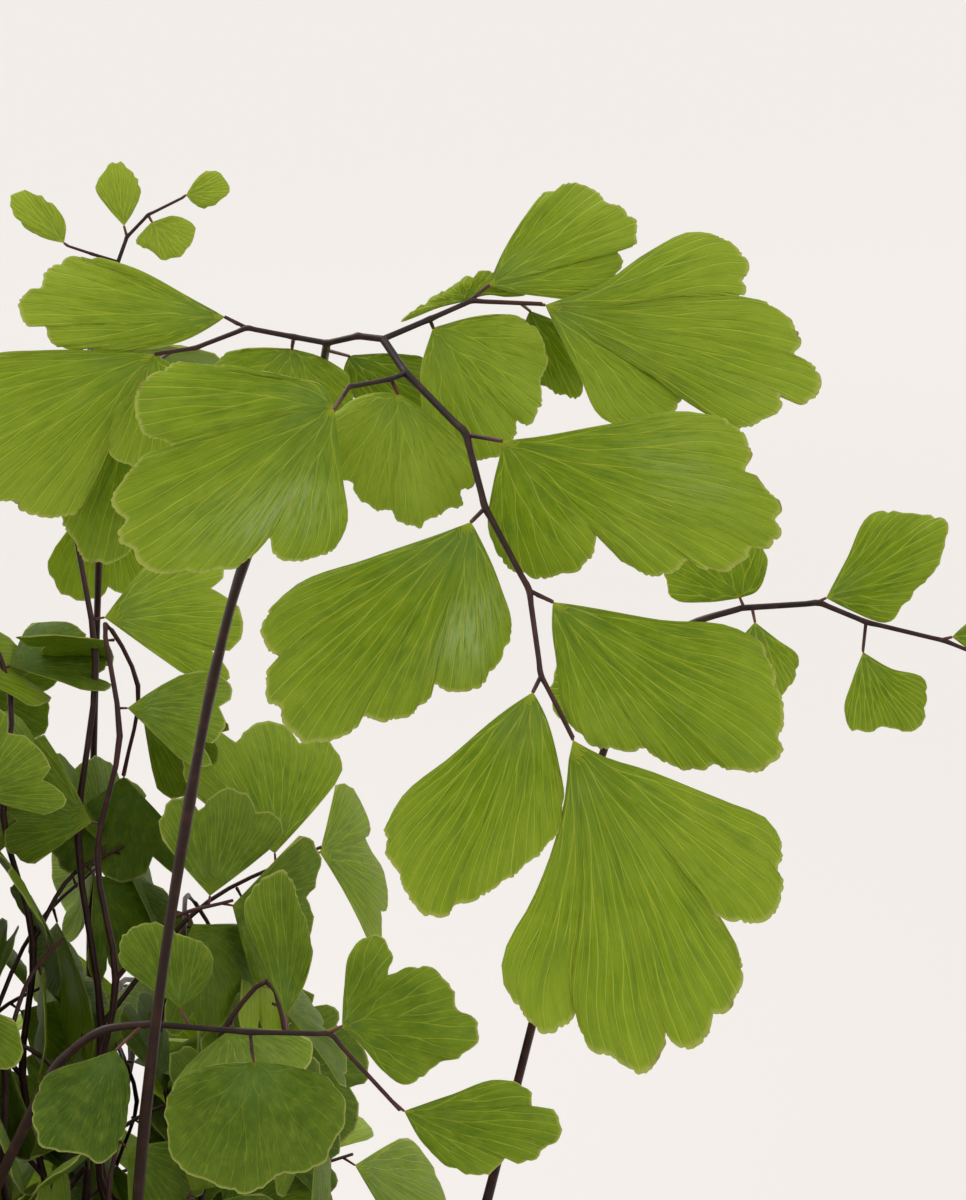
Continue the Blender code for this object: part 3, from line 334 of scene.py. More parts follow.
# Fan leaflet: veins lie where the distance to the nearest forked line is small. The distance starts as
# the distance to the middle of a cell, and each fork folds it once more about half the former step.
# The colours are then laid over each other, each in its own share.
def leafMaterial(look):
    m = Looks("maidenhairLeaf")
    across, along, cell = m.pointFacts("fan")
    toneAndShade, seed, glossAndSheen = m.pointFacts("tint")
    lane = m.plus(across, m.times(m.less(m.speckle(look["wanderNoise"]), 0.5), look["wander"]))
    distance = m.math("ABSOLUTE", m.less(m.math("FRACT", lane), 0.5))
    for level, start in enumerate(look["forks"]):
        number = m.plus(m.math("FLOOR", m.times(lane, 2.0 ** level)), m.times(seed, look["forkSeed"]))
        chance = m.add("ShaderNodeTexWhiteNoise", {"W": number}, noise_dimensions="1D").outputs["Value"]
        begin = m.timesPlus(chance, look["forkSpread"], start)
        forked = m.ranged(along, begin, m.plus(begin, look["forkLength"]))
        distance = m.math("ABSOLUTE", m.less(distance, m.times(forked, look["fold"] / 2 ** level)))
    vein = m.ranged(m.times(distance, cell), *look["veinHalf"])
    vein = m.times(vein, m.ranged(along, *look["veinFrom"]))
    streak, crease = (
        m.speckle(*look[noise], m.vector(*map(m.times, (lane, along, seed), look[paces])))
        for noise, paces in (("streakNoise", "streakPaces"), ("creaseNoise", "creasePaces"))
    )
    blotch = m.speckle(*look["blotchNoise"])
    grain = m.ranged(m.speckle(*look["grainNoise"]), *look["grain"])
    scorched = m.ranged(m.speckle(look["scorchNoise"]), *look["scorch"])
    scorched = m.times(m.ranged(along, *look["scorchFrom"]), scorched)
    veinShare = m.math("MINIMUM", m.timesPlus(toneAndShade, *look["veinTone"]), look["veinMost"])
    layers = (
        (m.ranged(streak, *look["streakMid"]), "mid"),
        (m.ranged(streak, *look["streakLight"]), "light"),
        (m.positive(m.timesPlus(m.ranged(blotch, *look["blotch"]), look["blotchShare"], toneAndShade)), "light"),
        # Painted shade: a tone below zero darkens the leaflet toward the shaded green; low and inner fronds
        # get the most.
        (m.positive(m.times(toneAndShade, -1.0)), "shade"),
        (m.times(m.ranged(along, *look["baseFade"]), m.ranged(blotch, *look["baseBlotch"])), "bluish"),
        (m.times(grain, look["grainShare"]), "light"),
        # Painted shade in the pleat valleys and painted highlight on the pleat ridges, from the noise that
        # also makes the bump.
        (m.ranged(crease, *look["creaseShade"]), "dark"),
        (m.ranged(crease, *look["ridgeHighlight"]), "light"),
        (m.times(m.ranged(along, *look["outer"]), m.timesPlus(toneAndShade, *look["outerTone"])), "light"),
        # Painted sheen: a pale silvery colour over the crease streaks in the gloss patch, in place of a
        # reflection.
        (m.times(glossAndSheen, m.ranged(crease, *look["sheenStreaks"])), "paintedSheen"),
        (m.times(vein, veinShare), "vein"),
        (m.ranged(along, *look["edgeFrom"]), "edge"),
        (m.times(scorched, look["scorchShare"]), "brown"),
        (m.ranged(along, *look["baseBrown"]), "brown"),
    )
    body = look["dark"]
    for share, colour in layers:
        body = m.blended(share, body, look[colour])
    relief = m.timesPlus(crease, look["creaseHigh"], m.timesPlus(vein, look["veinHigh"], streak))
    relief = m.timesPlus(m.speckle(*look["fineNoise"]), look["fineHigh"], relief)
    normal = m.bump(*look["bump"], relief)
    rough = m.less(m.timesPlus(streak, *look["rough"]), m.times(glossAndSheen, look["glossSmooth"]))
    skin = m.skin(body, rough, look["mirror"], normal)
    passed = m.blended(look["passShare"], body, look["through"])
    glow = m.add("ShaderNodeBsdfTranslucent", {"Color": passed, "Normal": normal}).outputs[0]
    return m.finished(m.add("ShaderNodeMixShader", {0: look["glowShare"], 1: skin, 2: glow}).outputs[0])


# Plain finish of a material: its colour with its own roughness, mirror light and bumps.
def plainFinish(m, look, body, height):
    return m.finished(m.skin(body, look["rough"], look["mirror"], m.bump(*look["bump"], height)))


# Dark glossy stem, redder toward a stalk's tip, with fine mottling.
def stemMaterial(look):
    m = Looks("wiryStem")
    mottle = m.speckle(*look["mottleNoise"])
    share = m.timesPlus(m.ranged(mottle, *look["mottle"]), look["mottleShare"], m.pointFacts("bark")[0])
    return plainFinish(m, look, m.blended(share, look["dark"], look["red"]), mottle)


# Fired clay: warm mottling, a paler bloom near the foot and under the collar, and fine grain.
def clayMaterial(look):
    m = Looks("firedClay")
    height = m.parts(m.place)[2]
    grain = m.speckle(*look["grainNoise"])
    body = m.blended(m.ranged(m.speckle(*look["warmNoise"]), *look["warm"]), look["deep"], look["mid"])
    bloom = m.math("MAXIMUM", m.ranged(height, *look["footBloom"]), m.ranged(height, *look["collarBloom"]))
    bloom = m.times(bloom, m.ranged(m.speckle(*look["bloomNoise"]), *look["bloom"]))
    body = m.blended(bloom, body, look["pale"])
    body = m.blended(m.ranged(grain, *look["grain"]), body, look["deep"])
    return plainFinish(m, look, body, grain)


# Damp potting soil: dark crumbs with a few paler fibres.
def soilMaterial(look):
    m = Looks("pottingSoil")
    crumb = m.speckle(*look["crumbNoise"])
    body = m.blended(m.ranged(crumb, *look["crumb"]), look["dark"], look["mid"])
    body = m.blended(m.ranged(m.speckle(look["fibreNoise"]), *look["fibre"]), body, look["pale"])
    return plainFinish(m, look, body, crumb)


leafLook = leafMaterial(materialLooks["leaf"])
stemLook = stemMaterial(materialLooks["stem"])
clayLook = clayMaterial(materialLooks["clay"])
soilLook = soilMaterial(materialLooks["soil"])
print("materials ready")

fanShape = {
    "cornerWithin": 2.5, "cornerFrom": 0.4, "guide": 0.5, "smoothShare": 0.07, "lobeSteps": 12,
    "scallop": 30.0, "scallopDeep": 4.2, "tooth": 11.0, "toothDeep": 2.6, "flat": 6.0, "endFlat": 0.25,
    "bowPower": 0.6, "toothPower": 0.7, "level": 0.6, "warp": 0.06, "sizeMiddle": 0.75,
    "sizeSwing": 0.4, "warpWaves": (1.5, 3), "sizeWaves": (1, 3), "driftWaves": (2, 4), "drift": 0.5,
    "toothSwing": (0.8, 0.7), "slowWaves": (1.6, 2.6), "fastWaves": 4.3, "fastShare": 0.6,
    "glossAcross": (0.2, 0.13), "glossAlong": (0.66, 0.2), "wavePower": 1.7, "pleatHigh": 0.055,
    "turnDown": 0.25, "turnFrom": 0.86, "rimThick": 0.09, "fullThick": 0.22, "rimShare": 0.12,
    "sideShare": 0.05,
}


# Where a side ends: the last point whose bearing from the base is within a few degrees of the widest,
# measured from the leaflet's middle line.
def cornerIndex(path, base, middle):
    radial = path - base
    reach = np.linalg.norm(radial, axis=1)
    ahead = unit(middle - base)
    beside = radial @ np.array((-ahead[1], ahead[0]))
    bearing = np.degrees(np.arctan2(np.abs(beside), radial @ ahead))
    far = reach > fanShape["cornerFrom"] * reach.max()
    widest = bearing[far].max()
    near = np.flatnonzero(far & (bearing > widest - fanShape["cornerWithin"]))
    return int(min(near[-1], len(path) - 3))


# Sine wave along a margin, with its number of waves and its start drawn at random.
def drawnWave(share, draws, fewest, most):
    return np.sin(fullTurn * (share * draws.uniform(fewest, most) + draws.random()))


# Scalloped margin: a lobe's outline moved outward by a bow for each scallop and a finer one for each
# tooth, both fading out toward the notches.
def scalloped(margin, base, unitSize, step, draws, soften):
    total = runningLength(margin)[-1]
    bows = max(2, round(total / (fanShape["scallop"] * unitSize)))
    steps = bows * max(3, round(total / (step * unitSize * bows)))
    path = atShares(margin, np.linspace(0, 1, steps + 1))
    lengths = runningLength(path)
    total = lengths[-1]
    ahead = unit(np.gradient(path, axis=0))
    outward = np.stack((ahead[:, 1], -ahead[:, 0]), axis=1)
    outward *= np.sign(((path - base) * outward).sum(axis=1).mean())
    share = lengths / total
    warped = share + fanShape["warp"] / bows * drawnWave(share, draws, *fanShape["warpWaves"])
    size = fanShape["sizeMiddle"] + fanShape["sizeSwing"] * drawnWave(share, draws, *fanShape["sizeWaves"])
    bow = np.abs(np.sin(math.pi * warped * bows)) ** fanShape["bowPower"] - fanShape["level"]
    drift = fanShape["drift"] * drawnWave(share, draws, *fanShape["driftWaves"])
    toothCount = total / (fanShape["tooth"] * unitSize)
    teeth = np.abs(np.sin(math.pi * (share * toothCount + drift))) ** fanShape["toothPower"]
    middle, swing = fanShape["toothSwing"]
    teeth = teeth * (middle + swing * drift) - fanShape["level"]
    near = np.minimum(lengths * soften[0], (total - lengths) * soften[1]) / (fanShape["flat"] * unitSize)
    rise = bow * size * fanShape["scallopDeep"] + teeth * fanShape["toothDeep"]
    return path + outward * (rise * unitSize * np.clip(near, 0, 1))[:, None]


# Fan patch: each crosswise place runs from the base to its margin point on a curve led by the smoothed
# margin, and the two sides' own outlines are added in shares that fall off across the leaflet.
def fanPatch(base, lobes, unitSize, step, rows, draws):
    base = np.asarray(base, dtype=float)
    dense = [smoothPath(lobe, fanShape["lobeSteps"]) for lobe in lobes]
    middle = np.concatenate(dense).mean(axis=0)
    first = cornerIndex(dense[0], base, middle)
    last = cornerIndex(dense[-1][::-1], base, middle)
    leftSide = dense[0][:first + 1]
    rightSide = dense[-1][::-1][:last + 1]
    margins = [dense[0][first:], *dense[1:-1], dense[-1][:len(dense[-1]) - last]]
    soft = [fanShape["endFlat"]] + [1.0] * (len(margins) - 1)
    parts = [scalloped(margin, base, unitSize, step, draws, soften)
             for margin, soften in zip(margins, zip(soft, soft[::-1]))]
    margin = np.concatenate([parts[0]] + [part[1:] for part in parts[1:]])
    margin[0], margin[-1] = leftSide[-1], rightSide[-1]
    columns = len(margin)
    reach = max(2, int(columns * fanShape["smoothShare"]))
    weights = np.exp(-np.linspace(-2, 2, 2 * reach + 1) ** 2)
    weights /= weights.sum()
    padded = np.pad(margin, ((reach, reach), (0, 0)), mode="edge")
    leading = np.stack([np.convolve(column, weights, "valid") for column in padded.T], axis=1)
    u = np.linspace(0, 1, columns)[None, :, None]
    v = (np.arange(1, rows + 1) / rows)[:, None, None]
    guide = base + fanShape["guide"] * (leading - base)
    grid = bentCurve(base, guide, margin, v)
    left = atShares(leftSide, v[:, 0, 0])[:, None]
    right = atShares(rightSide, v[:, 0, 0])[:, None]
    grid = grid + (1 - u) * (left - grid[:, :1]) + u * (right - grid[:, -1:])
    return grid, u[0, :, 0], v[:, 0, 0], runningLength(leading)[-1]


# Point values of a leaflet: its vein lanes, distance from the base and lane width in mm, and its tint: its
# tone, painted shade where it is below zero, and a bell-shaped patch of gloss, smoother and with a painted
# sheen.
def fanFacts(u, v, lanes, width, toneAndShade, seed, glossAndSheen):
    shape = (len(v), len(u))
    across = np.broadcast_to(u * lanes, shape)
    along = np.broadcast_to(v[:, None], shape).copy()
    cell = along * width / mm / lanes
    along[:, [0, -1]] = 1.0
    (middleU, spreadU), (middleV, spreadV) = fanShape["glossAcross"], fanShape["glossAlong"]
    offU, offV = (u[None, :] - middleU) / spreadU, (v[:, None] - middleV) / spreadV
    patch = glossAndSheen * np.exp(-(offU**2) - offV**2)
    tint = np.stack((np.full(shape, toneAndShade), np.full(shape, seed), patch), axis=-1)
    return {"fan": np.stack((across, along, cell), axis=-1), "tint": tint}


# Height of the leaflet's face over its plain curve: slow waves that grow toward the margin, fine
# pleats, and a margin that turns down a little.
def ripple(u, v, draws, waveHigh, pleats):
    u, v = u[None, :], v[:, None]
    phase = draws.uniform(0, 1)
    waves = np.sin(fullTurn * (draws.uniform(*fanShape["slowWaves"]) * u + phase))
    waves = waves + fanShape["fastShare"] * np.sin(fullTurn * (fanShape["fastWaves"] * u + 2 * phase))
    folds = np.sin(fullTurn * pleats * u) * v * (1 - 0.5 * v) * fanShape["pleatHigh"] * mm
    down = fanShape["turnDown"] * mm * ease(v, fanShape["turnFrom"], 1.0)
    return waveHigh * v ** fanShape["wavePower"] * waves + folds - down


# Thickness of a leaflet over its face: full inside, thin at its rim and sides.
def bladeThickness(u, v):
    side = np.minimum(u, 1 - u)
    full = ease(1 - v, 0.0, fanShape["rimShare"])[:, None] * ease(side, 0.0, fanShape["sideShare"])[None, :]
    thin = fanShape["rimThick"]
    return (thin + (fanShape["fullThick"] - thin) * full)[..., None] * mm


print("leaflet forms ready")

pictureView = {"middle": (42, -120, 270), "eyeDistance": 420, "eyeRise": 10, "middlePixel": (483, 600),
               "pixel": 0.08}
eyeRise = math.radians(pictureView["eyeRise"])
eyeHeading = np.array((0.0, -math.cos(eyeRise), math.sin(eyeRise)))
pictureMiddle = np.array(pictureView["middle"]) * mm
eyePoint = pictureMiddle + eyeHeading * pictureView["eyeDistance"] * mm
pixelSize = pictureView["pixel"] * mm


# Points that show at picture points, moved toward the eye by a share of their way to it.
def seen(pixels, toward):
    rise = np.array((0.0, math.sin(eyeRise), math.cos(eyeRise)))
    offset = (np.asarray(pixels, dtype=float) - pictureView["middlePixel"]) * pixelSize
    point = pictureMiddle + offset[..., :1] * np.array((1.0, 0.0, 0.0)) - offset[..., 1:] * rise
    return point + (eyePoint - point) * np.asarray(toward)[..., None] / (pictureView["eyeDistance"] * mm)


# Points of a stem or a stalk from its picture points, each with its distance toward the eye in mm.
def seenSpots(spots):
    spots = np.array(spots, dtype=float)
    return seen(spots[..., :2], spots[..., 2] * mm)


# Distance toward the eye on a leaflet: its base's, plus its lean, less an arch that grows as the square.
def depthAt(leaflet, pixels):
    offset = (pixels - np.array(leaflet["base"])) * pixelSize
    lean = offset @ np.array(leaflet["lean"])
    return leaflet["depth"] * mm + lean - leaflet["arch"] * (offset**2).sum(axis=-1) / 2


# Leaflet as drawn: where its stalk starts, its base, distance toward the eye, lean, arch and lobes.
# Each lobe runs on from the last point of the one before it, their notch, and all run round the base.
def fan(root, base, depth, lean, arch, *lobes):
    starts = [(base,)] + [(lobe[-1],) for lobe in lobes[:-1]]
    ends = [()] * (len(lobes) - 1) + [(base,)]
    outline = [start + lobe + end for start, lobe, end in zip(starts, lobes, ends)]
    return {"root": root, "base": base, "depth": depth, "lean": lean, "arch": arch, "lobes": outline}


# Picture fronds. A stem has its radii in mm at both ends, then its picture points with their distances
# toward the eye in mm.
frontFrond = {
    "root": (6, -18),
    "stipe": ((327, 343, -14), (321, 372, -20.5), (292, 450, -27.5), (245, 560, -38), (213, 680, -50),
              (190, 800, -60)),
    "stems": {
        "rachis": ((0.34, 0.18), ((383, 339, -12), (406, 373, -9), (466, 434, -4), (485, 507, -1),
                                  (529, 590, 1), (541, 675, 2), (573, 738, 2))),
        "rightBranch": ((0.27, 0.18), ((383, 339, -12), (430, 319, -14), (471, 301, -16), (542, 304, -15))),
        "leftBranch": ((0.29, 0.17), ((383, 339, -12), (358, 336, -13), (327, 343, -14), (294, 337, -15),
                                      (247, 328, -16), (195, 348, -17), (155, 354, -17))),
        "leftTwig": ((0.18, 0.15), ((247, 328, -16), (225, 317, -17))),
        "nearTwig": ((0.24, 0.17), ((406, 373, -9), (391, 379, -7), (349, 387, -4), (332, 412, -2))),
        "stalkRight1": ((0.2, 0.17), ((468, 435, -4), (502, 441, -2))),
        "stalkLeft1": ((0.2, 0.16), ((485, 508, -1), (471, 522, 0))),
        "stalkRight2": ((0.2, 0.16), ((530, 591, 1), (553, 602, 1))),
        "stalkLeft2": ((0.2, 0.16), ((541, 676, 2), (533, 692, 3))),
        "stalkMiddle": ((0.18, 0.14), ((391, 379, -7), (397, 392, -8))),
        "stalkBack": ((0.18, 0.14), ((430, 320, -14), (433, 327, -15))),
        "stalkTop": ((0.18, 0.14), ((471, 300, -16), (489, 285, -17))),
        "stalkLow": ((0.18, 0.14), ((294, 338, -15), (292, 347, -18))),
    },
    "leaflets": {
        "terminal": fan((560, 713, 2), (573, 740), 2, (0.1, 0.16), 9,
            ((600, 755), (650, 771), (700, 791), (730, 803), (770, 822), (782, 850), (778, 868)),
            ((782, 895), (768, 919), (714, 917)),
            ((737, 948), (742, 977), (733, 1003), (722, 1014), (713, 1014)),
            ((706, 1038), (690, 1049), (675, 1043), (666, 1032)),
            ((657, 1063), (640, 1073), (612, 1057), (588, 1047), (580, 1010)),
            ((560, 1028), (545, 1034), (522, 1010), (501, 975), (504, 953), (532, 900), (555, 840),
             (566, 790), (569, 758))),
        "left2": fan((540, 678, 2.1), (533, 692), 3, (-0.12, 0.1), 9,
            ((545, 715), (557, 760), (563, 803), (554, 837), (546, 846)),
            ((530, 862), (512, 875), (480, 897), (455, 905)),
            ((447, 914), (433, 917), (410, 900), (399, 873)),
            ((388, 857), (385, 835), (400, 800), (450, 757), (510, 707))),
        "right2": fan((537, 595, 1), (553, 602), 1, (-0.16, 0.1), 9,
            ((580, 606), (660, 620), (737, 629), (760, 643), (775, 680), (783, 722), (778, 737)),
            ((781, 750), (765, 768), (735, 770), (715, 764)),
            ((690, 770), (665, 762), (646, 748)),
            ((617, 751), (585, 740), (565, 712), (556, 660), (552, 625))),
        "left1": fan((480, 513, -0.7), (471, 522), 0, (0.14, 0.12), 9,
            ((478, 535), (500, 585), (511, 630), (500, 659), (475, 688), (450, 692), (434, 684)),
            ((423, 705), (395, 720), (362, 716)),
            ((347, 734), (300, 739), (283, 723), (281, 709)),
            ((267, 698), (269, 673), (280, 659)),
            ((262, 640), (266, 618), (290, 590), (370, 558), (450, 530))),
        "right1": fan((488, 438, -2.8), (502, 441), -2, (0.1, -0.14), 10,
            ((530, 438), (610, 424), (690, 412), (730, 424), (751, 450), (745, 471)),
            ((769, 490), (780, 515), (775, 519)),
            ((780, 535), (760, 548), (752, 547)),
            ((738, 565), (703, 568), (688, 560)),
            ((660, 576), (625, 562), (597, 531)),
            ((591, 557), (550, 577), (512, 569), (490, 535), (494, 480), (500, 455))),
        "near": fan((342, 397, -3), (334, 409), -1, (-0.1, 0.1), 10,
            ((338, 440), (343, 480), (346, 527), (330, 551), (303, 560), (285, 562), (268, 537)),
            ((240, 565), (195, 571), (147, 569), (131, 548)),
            ((118, 540), (126, 520)),
            ((112, 503), (122, 480), (145, 457), (196, 441)),
            ((170, 443), (145, 433), (135, 417)),
            ((137, 391), (165, 368), (218, 366), (290, 377), (325, 388))),
        "middle": fan((393, 383, -7.3), (398, 394), -8, (0, 0.12), 10,
            ((430, 415), (465, 450), (474, 475), (470, 488), (461, 490)),
            ((459, 507), (447, 510), (429, 519)),
            ((418, 526), (400, 521), (391, 510)),
            ((375, 508), (358, 496), (353, 483)),
            ((340, 478), (333, 445), (332, 422), (350, 402), (380, 392))),
        "back": fan((430, 320, -14.1), (433, 328), -15, (-0.05, 0.1), 8,
            ((480, 316), (525, 320), (544, 342), (547, 362), (540, 382)),
            ((541, 405), (527, 424), (517, 420)),
            ((513, 440), (490, 459), (465, 457)),
            ((440, 440), (424, 410), (421, 370))),
        "top": fan((475, 297, -16.2), (489, 285), -17, (0.1, 0.1), 9,
            ((502, 254), (520, 224), (545, 194), (565, 185), (585, 185), (606, 202)),
            ((620, 207), (637, 226), (636, 242), (617, 249)),
            ((622, 265), (607, 285), (585, 297), (540, 296), (505, 290))),
        "rightTop": fan((526, 303, -15.2), (545, 305), -15, (0.06, 0.05), 8,
            ((600, 285), (650, 251), (692, 232), (735, 247), (748, 268), (742, 281)),
            ((746, 292), (720, 299)),
            ((760, 302), (797, 330), (799, 346), (794, 354)),
            ((815, 368), (821, 386), (805, 403), (780, 393)),
            ((779, 412), (762, 420), (745, 428), (711, 416), (690, 388), (663, 360)),
            ((681, 395), (672, 412), (640, 422), (605, 420), (578, 372), (557, 330))),
        "upperLeft": fan((238, 324, -16.4), (225, 317), -17, (-0.05, 0.08), 8,
            ((194, 300), (128, 266), (95, 258), (60, 262), (45, 275), (42, 286)),
            ((22, 298), (19, 312), (29, 324), (45, 326)),
            ((52, 342), (85, 349), (140, 350), (185, 340), (210, 327))),
        "left": fan((172, 352, -17), (155, 354), -17, (-0.05, -0.08), 8,
            ((110, 351), (50, 350), (-20, 357), (-62, 375), (-74, 400), (-66, 425), (-52, 432)),
            ((-62, 455), (-50, 482), (-20, 500), (12, 501)),
            ((36, 516), (70, 514), (90, 490), (97, 440), (106, 420)),
            ((110, 452), (128, 466), (152, 470), (176, 440), (190, 400), (175, 368))),
        "low": fan((293, 341, -16), (292, 349), -16.8, (0, -0.08), 8,
            ((320, 357), (348, 378), (352, 400), (338, 418), (312, 414)),
            ((296, 430), (272, 428), (262, 414)),
            ((236, 414), (214, 392), (216, 362), (250, 349))),
        "behind": fan((326, 350, -15), (349, 356), -20, (0, -0.05), 6,
            ((392, 354), (424, 360), (438, 384), (430, 400)),
            ((416, 416), (390, 414), (380, 402)),
            ((360, 402), (347, 384), (344, 368))),
        "backTop": fan((466, 303, -16), (466, 301), -18, (0, 0), 6,
            ((440, 307), (412, 318), (401, 322), (428, 301), (448, 289)),
            ((470, 277), (488, 271), (500, 276)),
            ((520, 282), (528, 293), (508, 297), (488, 295))),
        "backRight": fan((520, 303, -15.4), (530, 311), -20, (0, 0), 6,
            ((556, 322), (578, 345), (586, 372), (583, 386)),
            ((578, 397), (560, 394), (545, 386)),
            ((528, 380), (520, 355), (522, 330))),
        "deep": fan((172, 351.5, -17.2), (150, 366), -24, (0, 0), 6,
            ((160, 420), (158, 480), (150, 530), (126, 556)),
            ((104, 563), (85, 560), (76, 544)),
            ((62, 520), (70, 480), (95, 430), (130, 385))),
    },
}
rightFrond = {
    "root": (12, 6),
    "stipe": ((742, 608, -72), (690, 625, -75), (632, 690, -80), (588, 800, -88), (556, 930, -98)),
    "stems": {
        "rachis": ((0.3, 0.17), ((742, 608, -72), (820, 603, -70), (866, 622, -68), (945, 641, -66),
                                 (1012, 668, -64))),
        "stalkLow": ((0.18, 0.14), ((866, 622, -68), (863, 650, -68))),
    },
    "leaflets": {
        "upper": fan((814, 603.5, -70), (826, 598), -70, (0.1, 0.1), 5,
            ((846, 560), (873, 513), (908, 513)),
            ((946, 522), (940, 564)),
            ((914, 592), (886, 622), (852, 611))),
        "lower": fan((864, 640, -68), (863, 652), -68, (0, 0.15), 5,
            ((890, 668), (925, 680), (926, 704)),
            ((918, 729), (886, 727)),
            ((852, 730), (845, 712), (853, 678))),
        "side": fan((940, 640, -66), (952, 637), -66, (0, 0.1), 5,
            ((985, 610), (1018, 598), (1034, 620)),
            ((1042, 642), (1020, 652)),
            ((996, 662), (970, 650))),
        "tip": fan((1002, 664, -64), (1016, 670), -64, (0, 0.15), 5,
            ((1050, 664), (1086, 668), (1092, 696)),
            ((1084, 726), (1052, 730)),
            ((1024, 724), (1016, 696))),
        "inner": fan((744, 607.5, -72), (740, 598), -73, (0, -0.1), 5,
            ((706, 602), (673, 598), (664, 562)),
            ((676, 530), (716, 522)),
            ((756, 534), (766, 570), (756, 592))),
        "under": fan((752, 607.5, -71.8), (755, 622), -71, (0, 0.15), 5,
            ((778, 640), (798, 656), (792, 684)),
            ((766, 704), (738, 694)),
            ((722, 672), (738, 642))),
        "hidden": fan((632, 690, -80), (618, 688), -80, (0.1, 0), 5,
            ((596, 650), (567, 636), (554, 674)),
            ((552, 706), (574, 728)),
            ((596, 732), (606, 710))),
    },
}
lowFrond = {
    "root": (-5, -8),
    "stipe": ((150, 1024, -86), (104, 1030, -86), (60, 1062, -88), (28, 1120, -92)),
    "stems": {
        "rachis": ((0.32, 0.2), ((150, 1024, -86), (250, 1032, -85), (330, 1034, -84), (400, 1110, -83))),
        "stalkLow": ((0.2, 0.15), ((250, 1032, -85), (253, 1058, -84))),
    },
    "leaflets": {
        "right": fan((327, 1034, -84), (342, 1026), -84, (0, 0.1), 5,
            ((344, 990), (352, 950), (372, 935), (390, 948), (388, 975)),
            ((420, 966), (448, 982), (458, 1010)),
            ((478, 1024), (470, 1050), (440, 1062)),
            ((402, 1084), (384, 1072), (362, 1046))),
        "tip": fan((390, 1099, -83.2), (404, 1111), -83, (0, 0.1), 5,
            ((450, 1095), (500, 1080), (528, 1090), (532, 1108)),
            ((558, 1115), (560, 1135), (545, 1148)),
            ((530, 1162), (505, 1158)),
            ((490, 1173), (450, 1166), (422, 1142))),
        "under": fan((251, 1048, -84.5), (254, 1062), -84, (0, 0.2), 5,
            ((300, 1068), (335, 1085), (346, 1115), (335, 1140)),
            ((318, 1166), (280, 1175)),
            ((246, 1194), (210, 1182)),
            ((176, 1165), (167, 1130)),
            ((169, 1095), (184, 1076), (215, 1065))),
        "upright": fan((288, 1033, -84.6), (286, 1016), -86, (0, 0), 5,
            ((264, 965), (246, 902), (262, 878)),
            ((284, 872), (300, 905)),
            ((312, 950), (302, 990))),
        "leftUnder": fan((142, 1025, -86), (116, 1050), -84, (0, 0.2), 5,
            ((126, 1066), (129, 1100), (122, 1138)),
            ((104, 1162), (80, 1154)),
            ((42, 1144), (32, 1110)),
            ((46, 1076), (88, 1060))),
        "leftUpright": fan((190, 1027, -85.6), (180, 1008), -87, (0, 0), 5,
            ((146, 985), (120, 962), (122, 935)),
            ((150, 922), (180, 934)),
            ((210, 950), (206, 985))),
    },
}
farFrond = {
    "root": (-3, 32),
    "stipe": ((118, 262, -150), (111, 300, -151), (104, 400, -155), (100, 520, -161)),
    "stems": {
        "rachis": ((0.24, 0.15), ((118, 262, -150), (127, 237, -150), (148, 215, -149), (182, 198, -148))),
        "leftBranch": ((0.2, 0.14), ((118, 262, -150), (92, 254, -150), (68, 246, -149))),
    },
    "leaflets": {
        "left": fan((68, 246, -149), (64, 243), -149, (0, 0.1), 8,
            ((44, 238), (22, 224), (10, 206)),
            ((14, 192), (30, 192)),
            ((52, 204), (66, 226))),
        "top": fan((127, 237, -150), (124, 226), -150, (0.1, 0), 8,
            ((108, 208), (96, 186), (104, 172)),
            ((116, 162), (130, 170)),
            ((140, 188), (133, 212))),
        "middle": fan((148, 215, -149), (152, 222), -149, (0, 0.1), 8,
            ((174, 216), (196, 228), (190, 246)),
            ((170, 260), (150, 250)),
            ((136, 242), (144, 230))),
        "right": fan((182, 198, -148), (186, 195), -148, (0, 0.1), 8,
            ((198, 178), (214, 170), (224, 178)),
            ((230, 192), (218, 202)),
            ((204, 208), (192, 202))),
    },
}

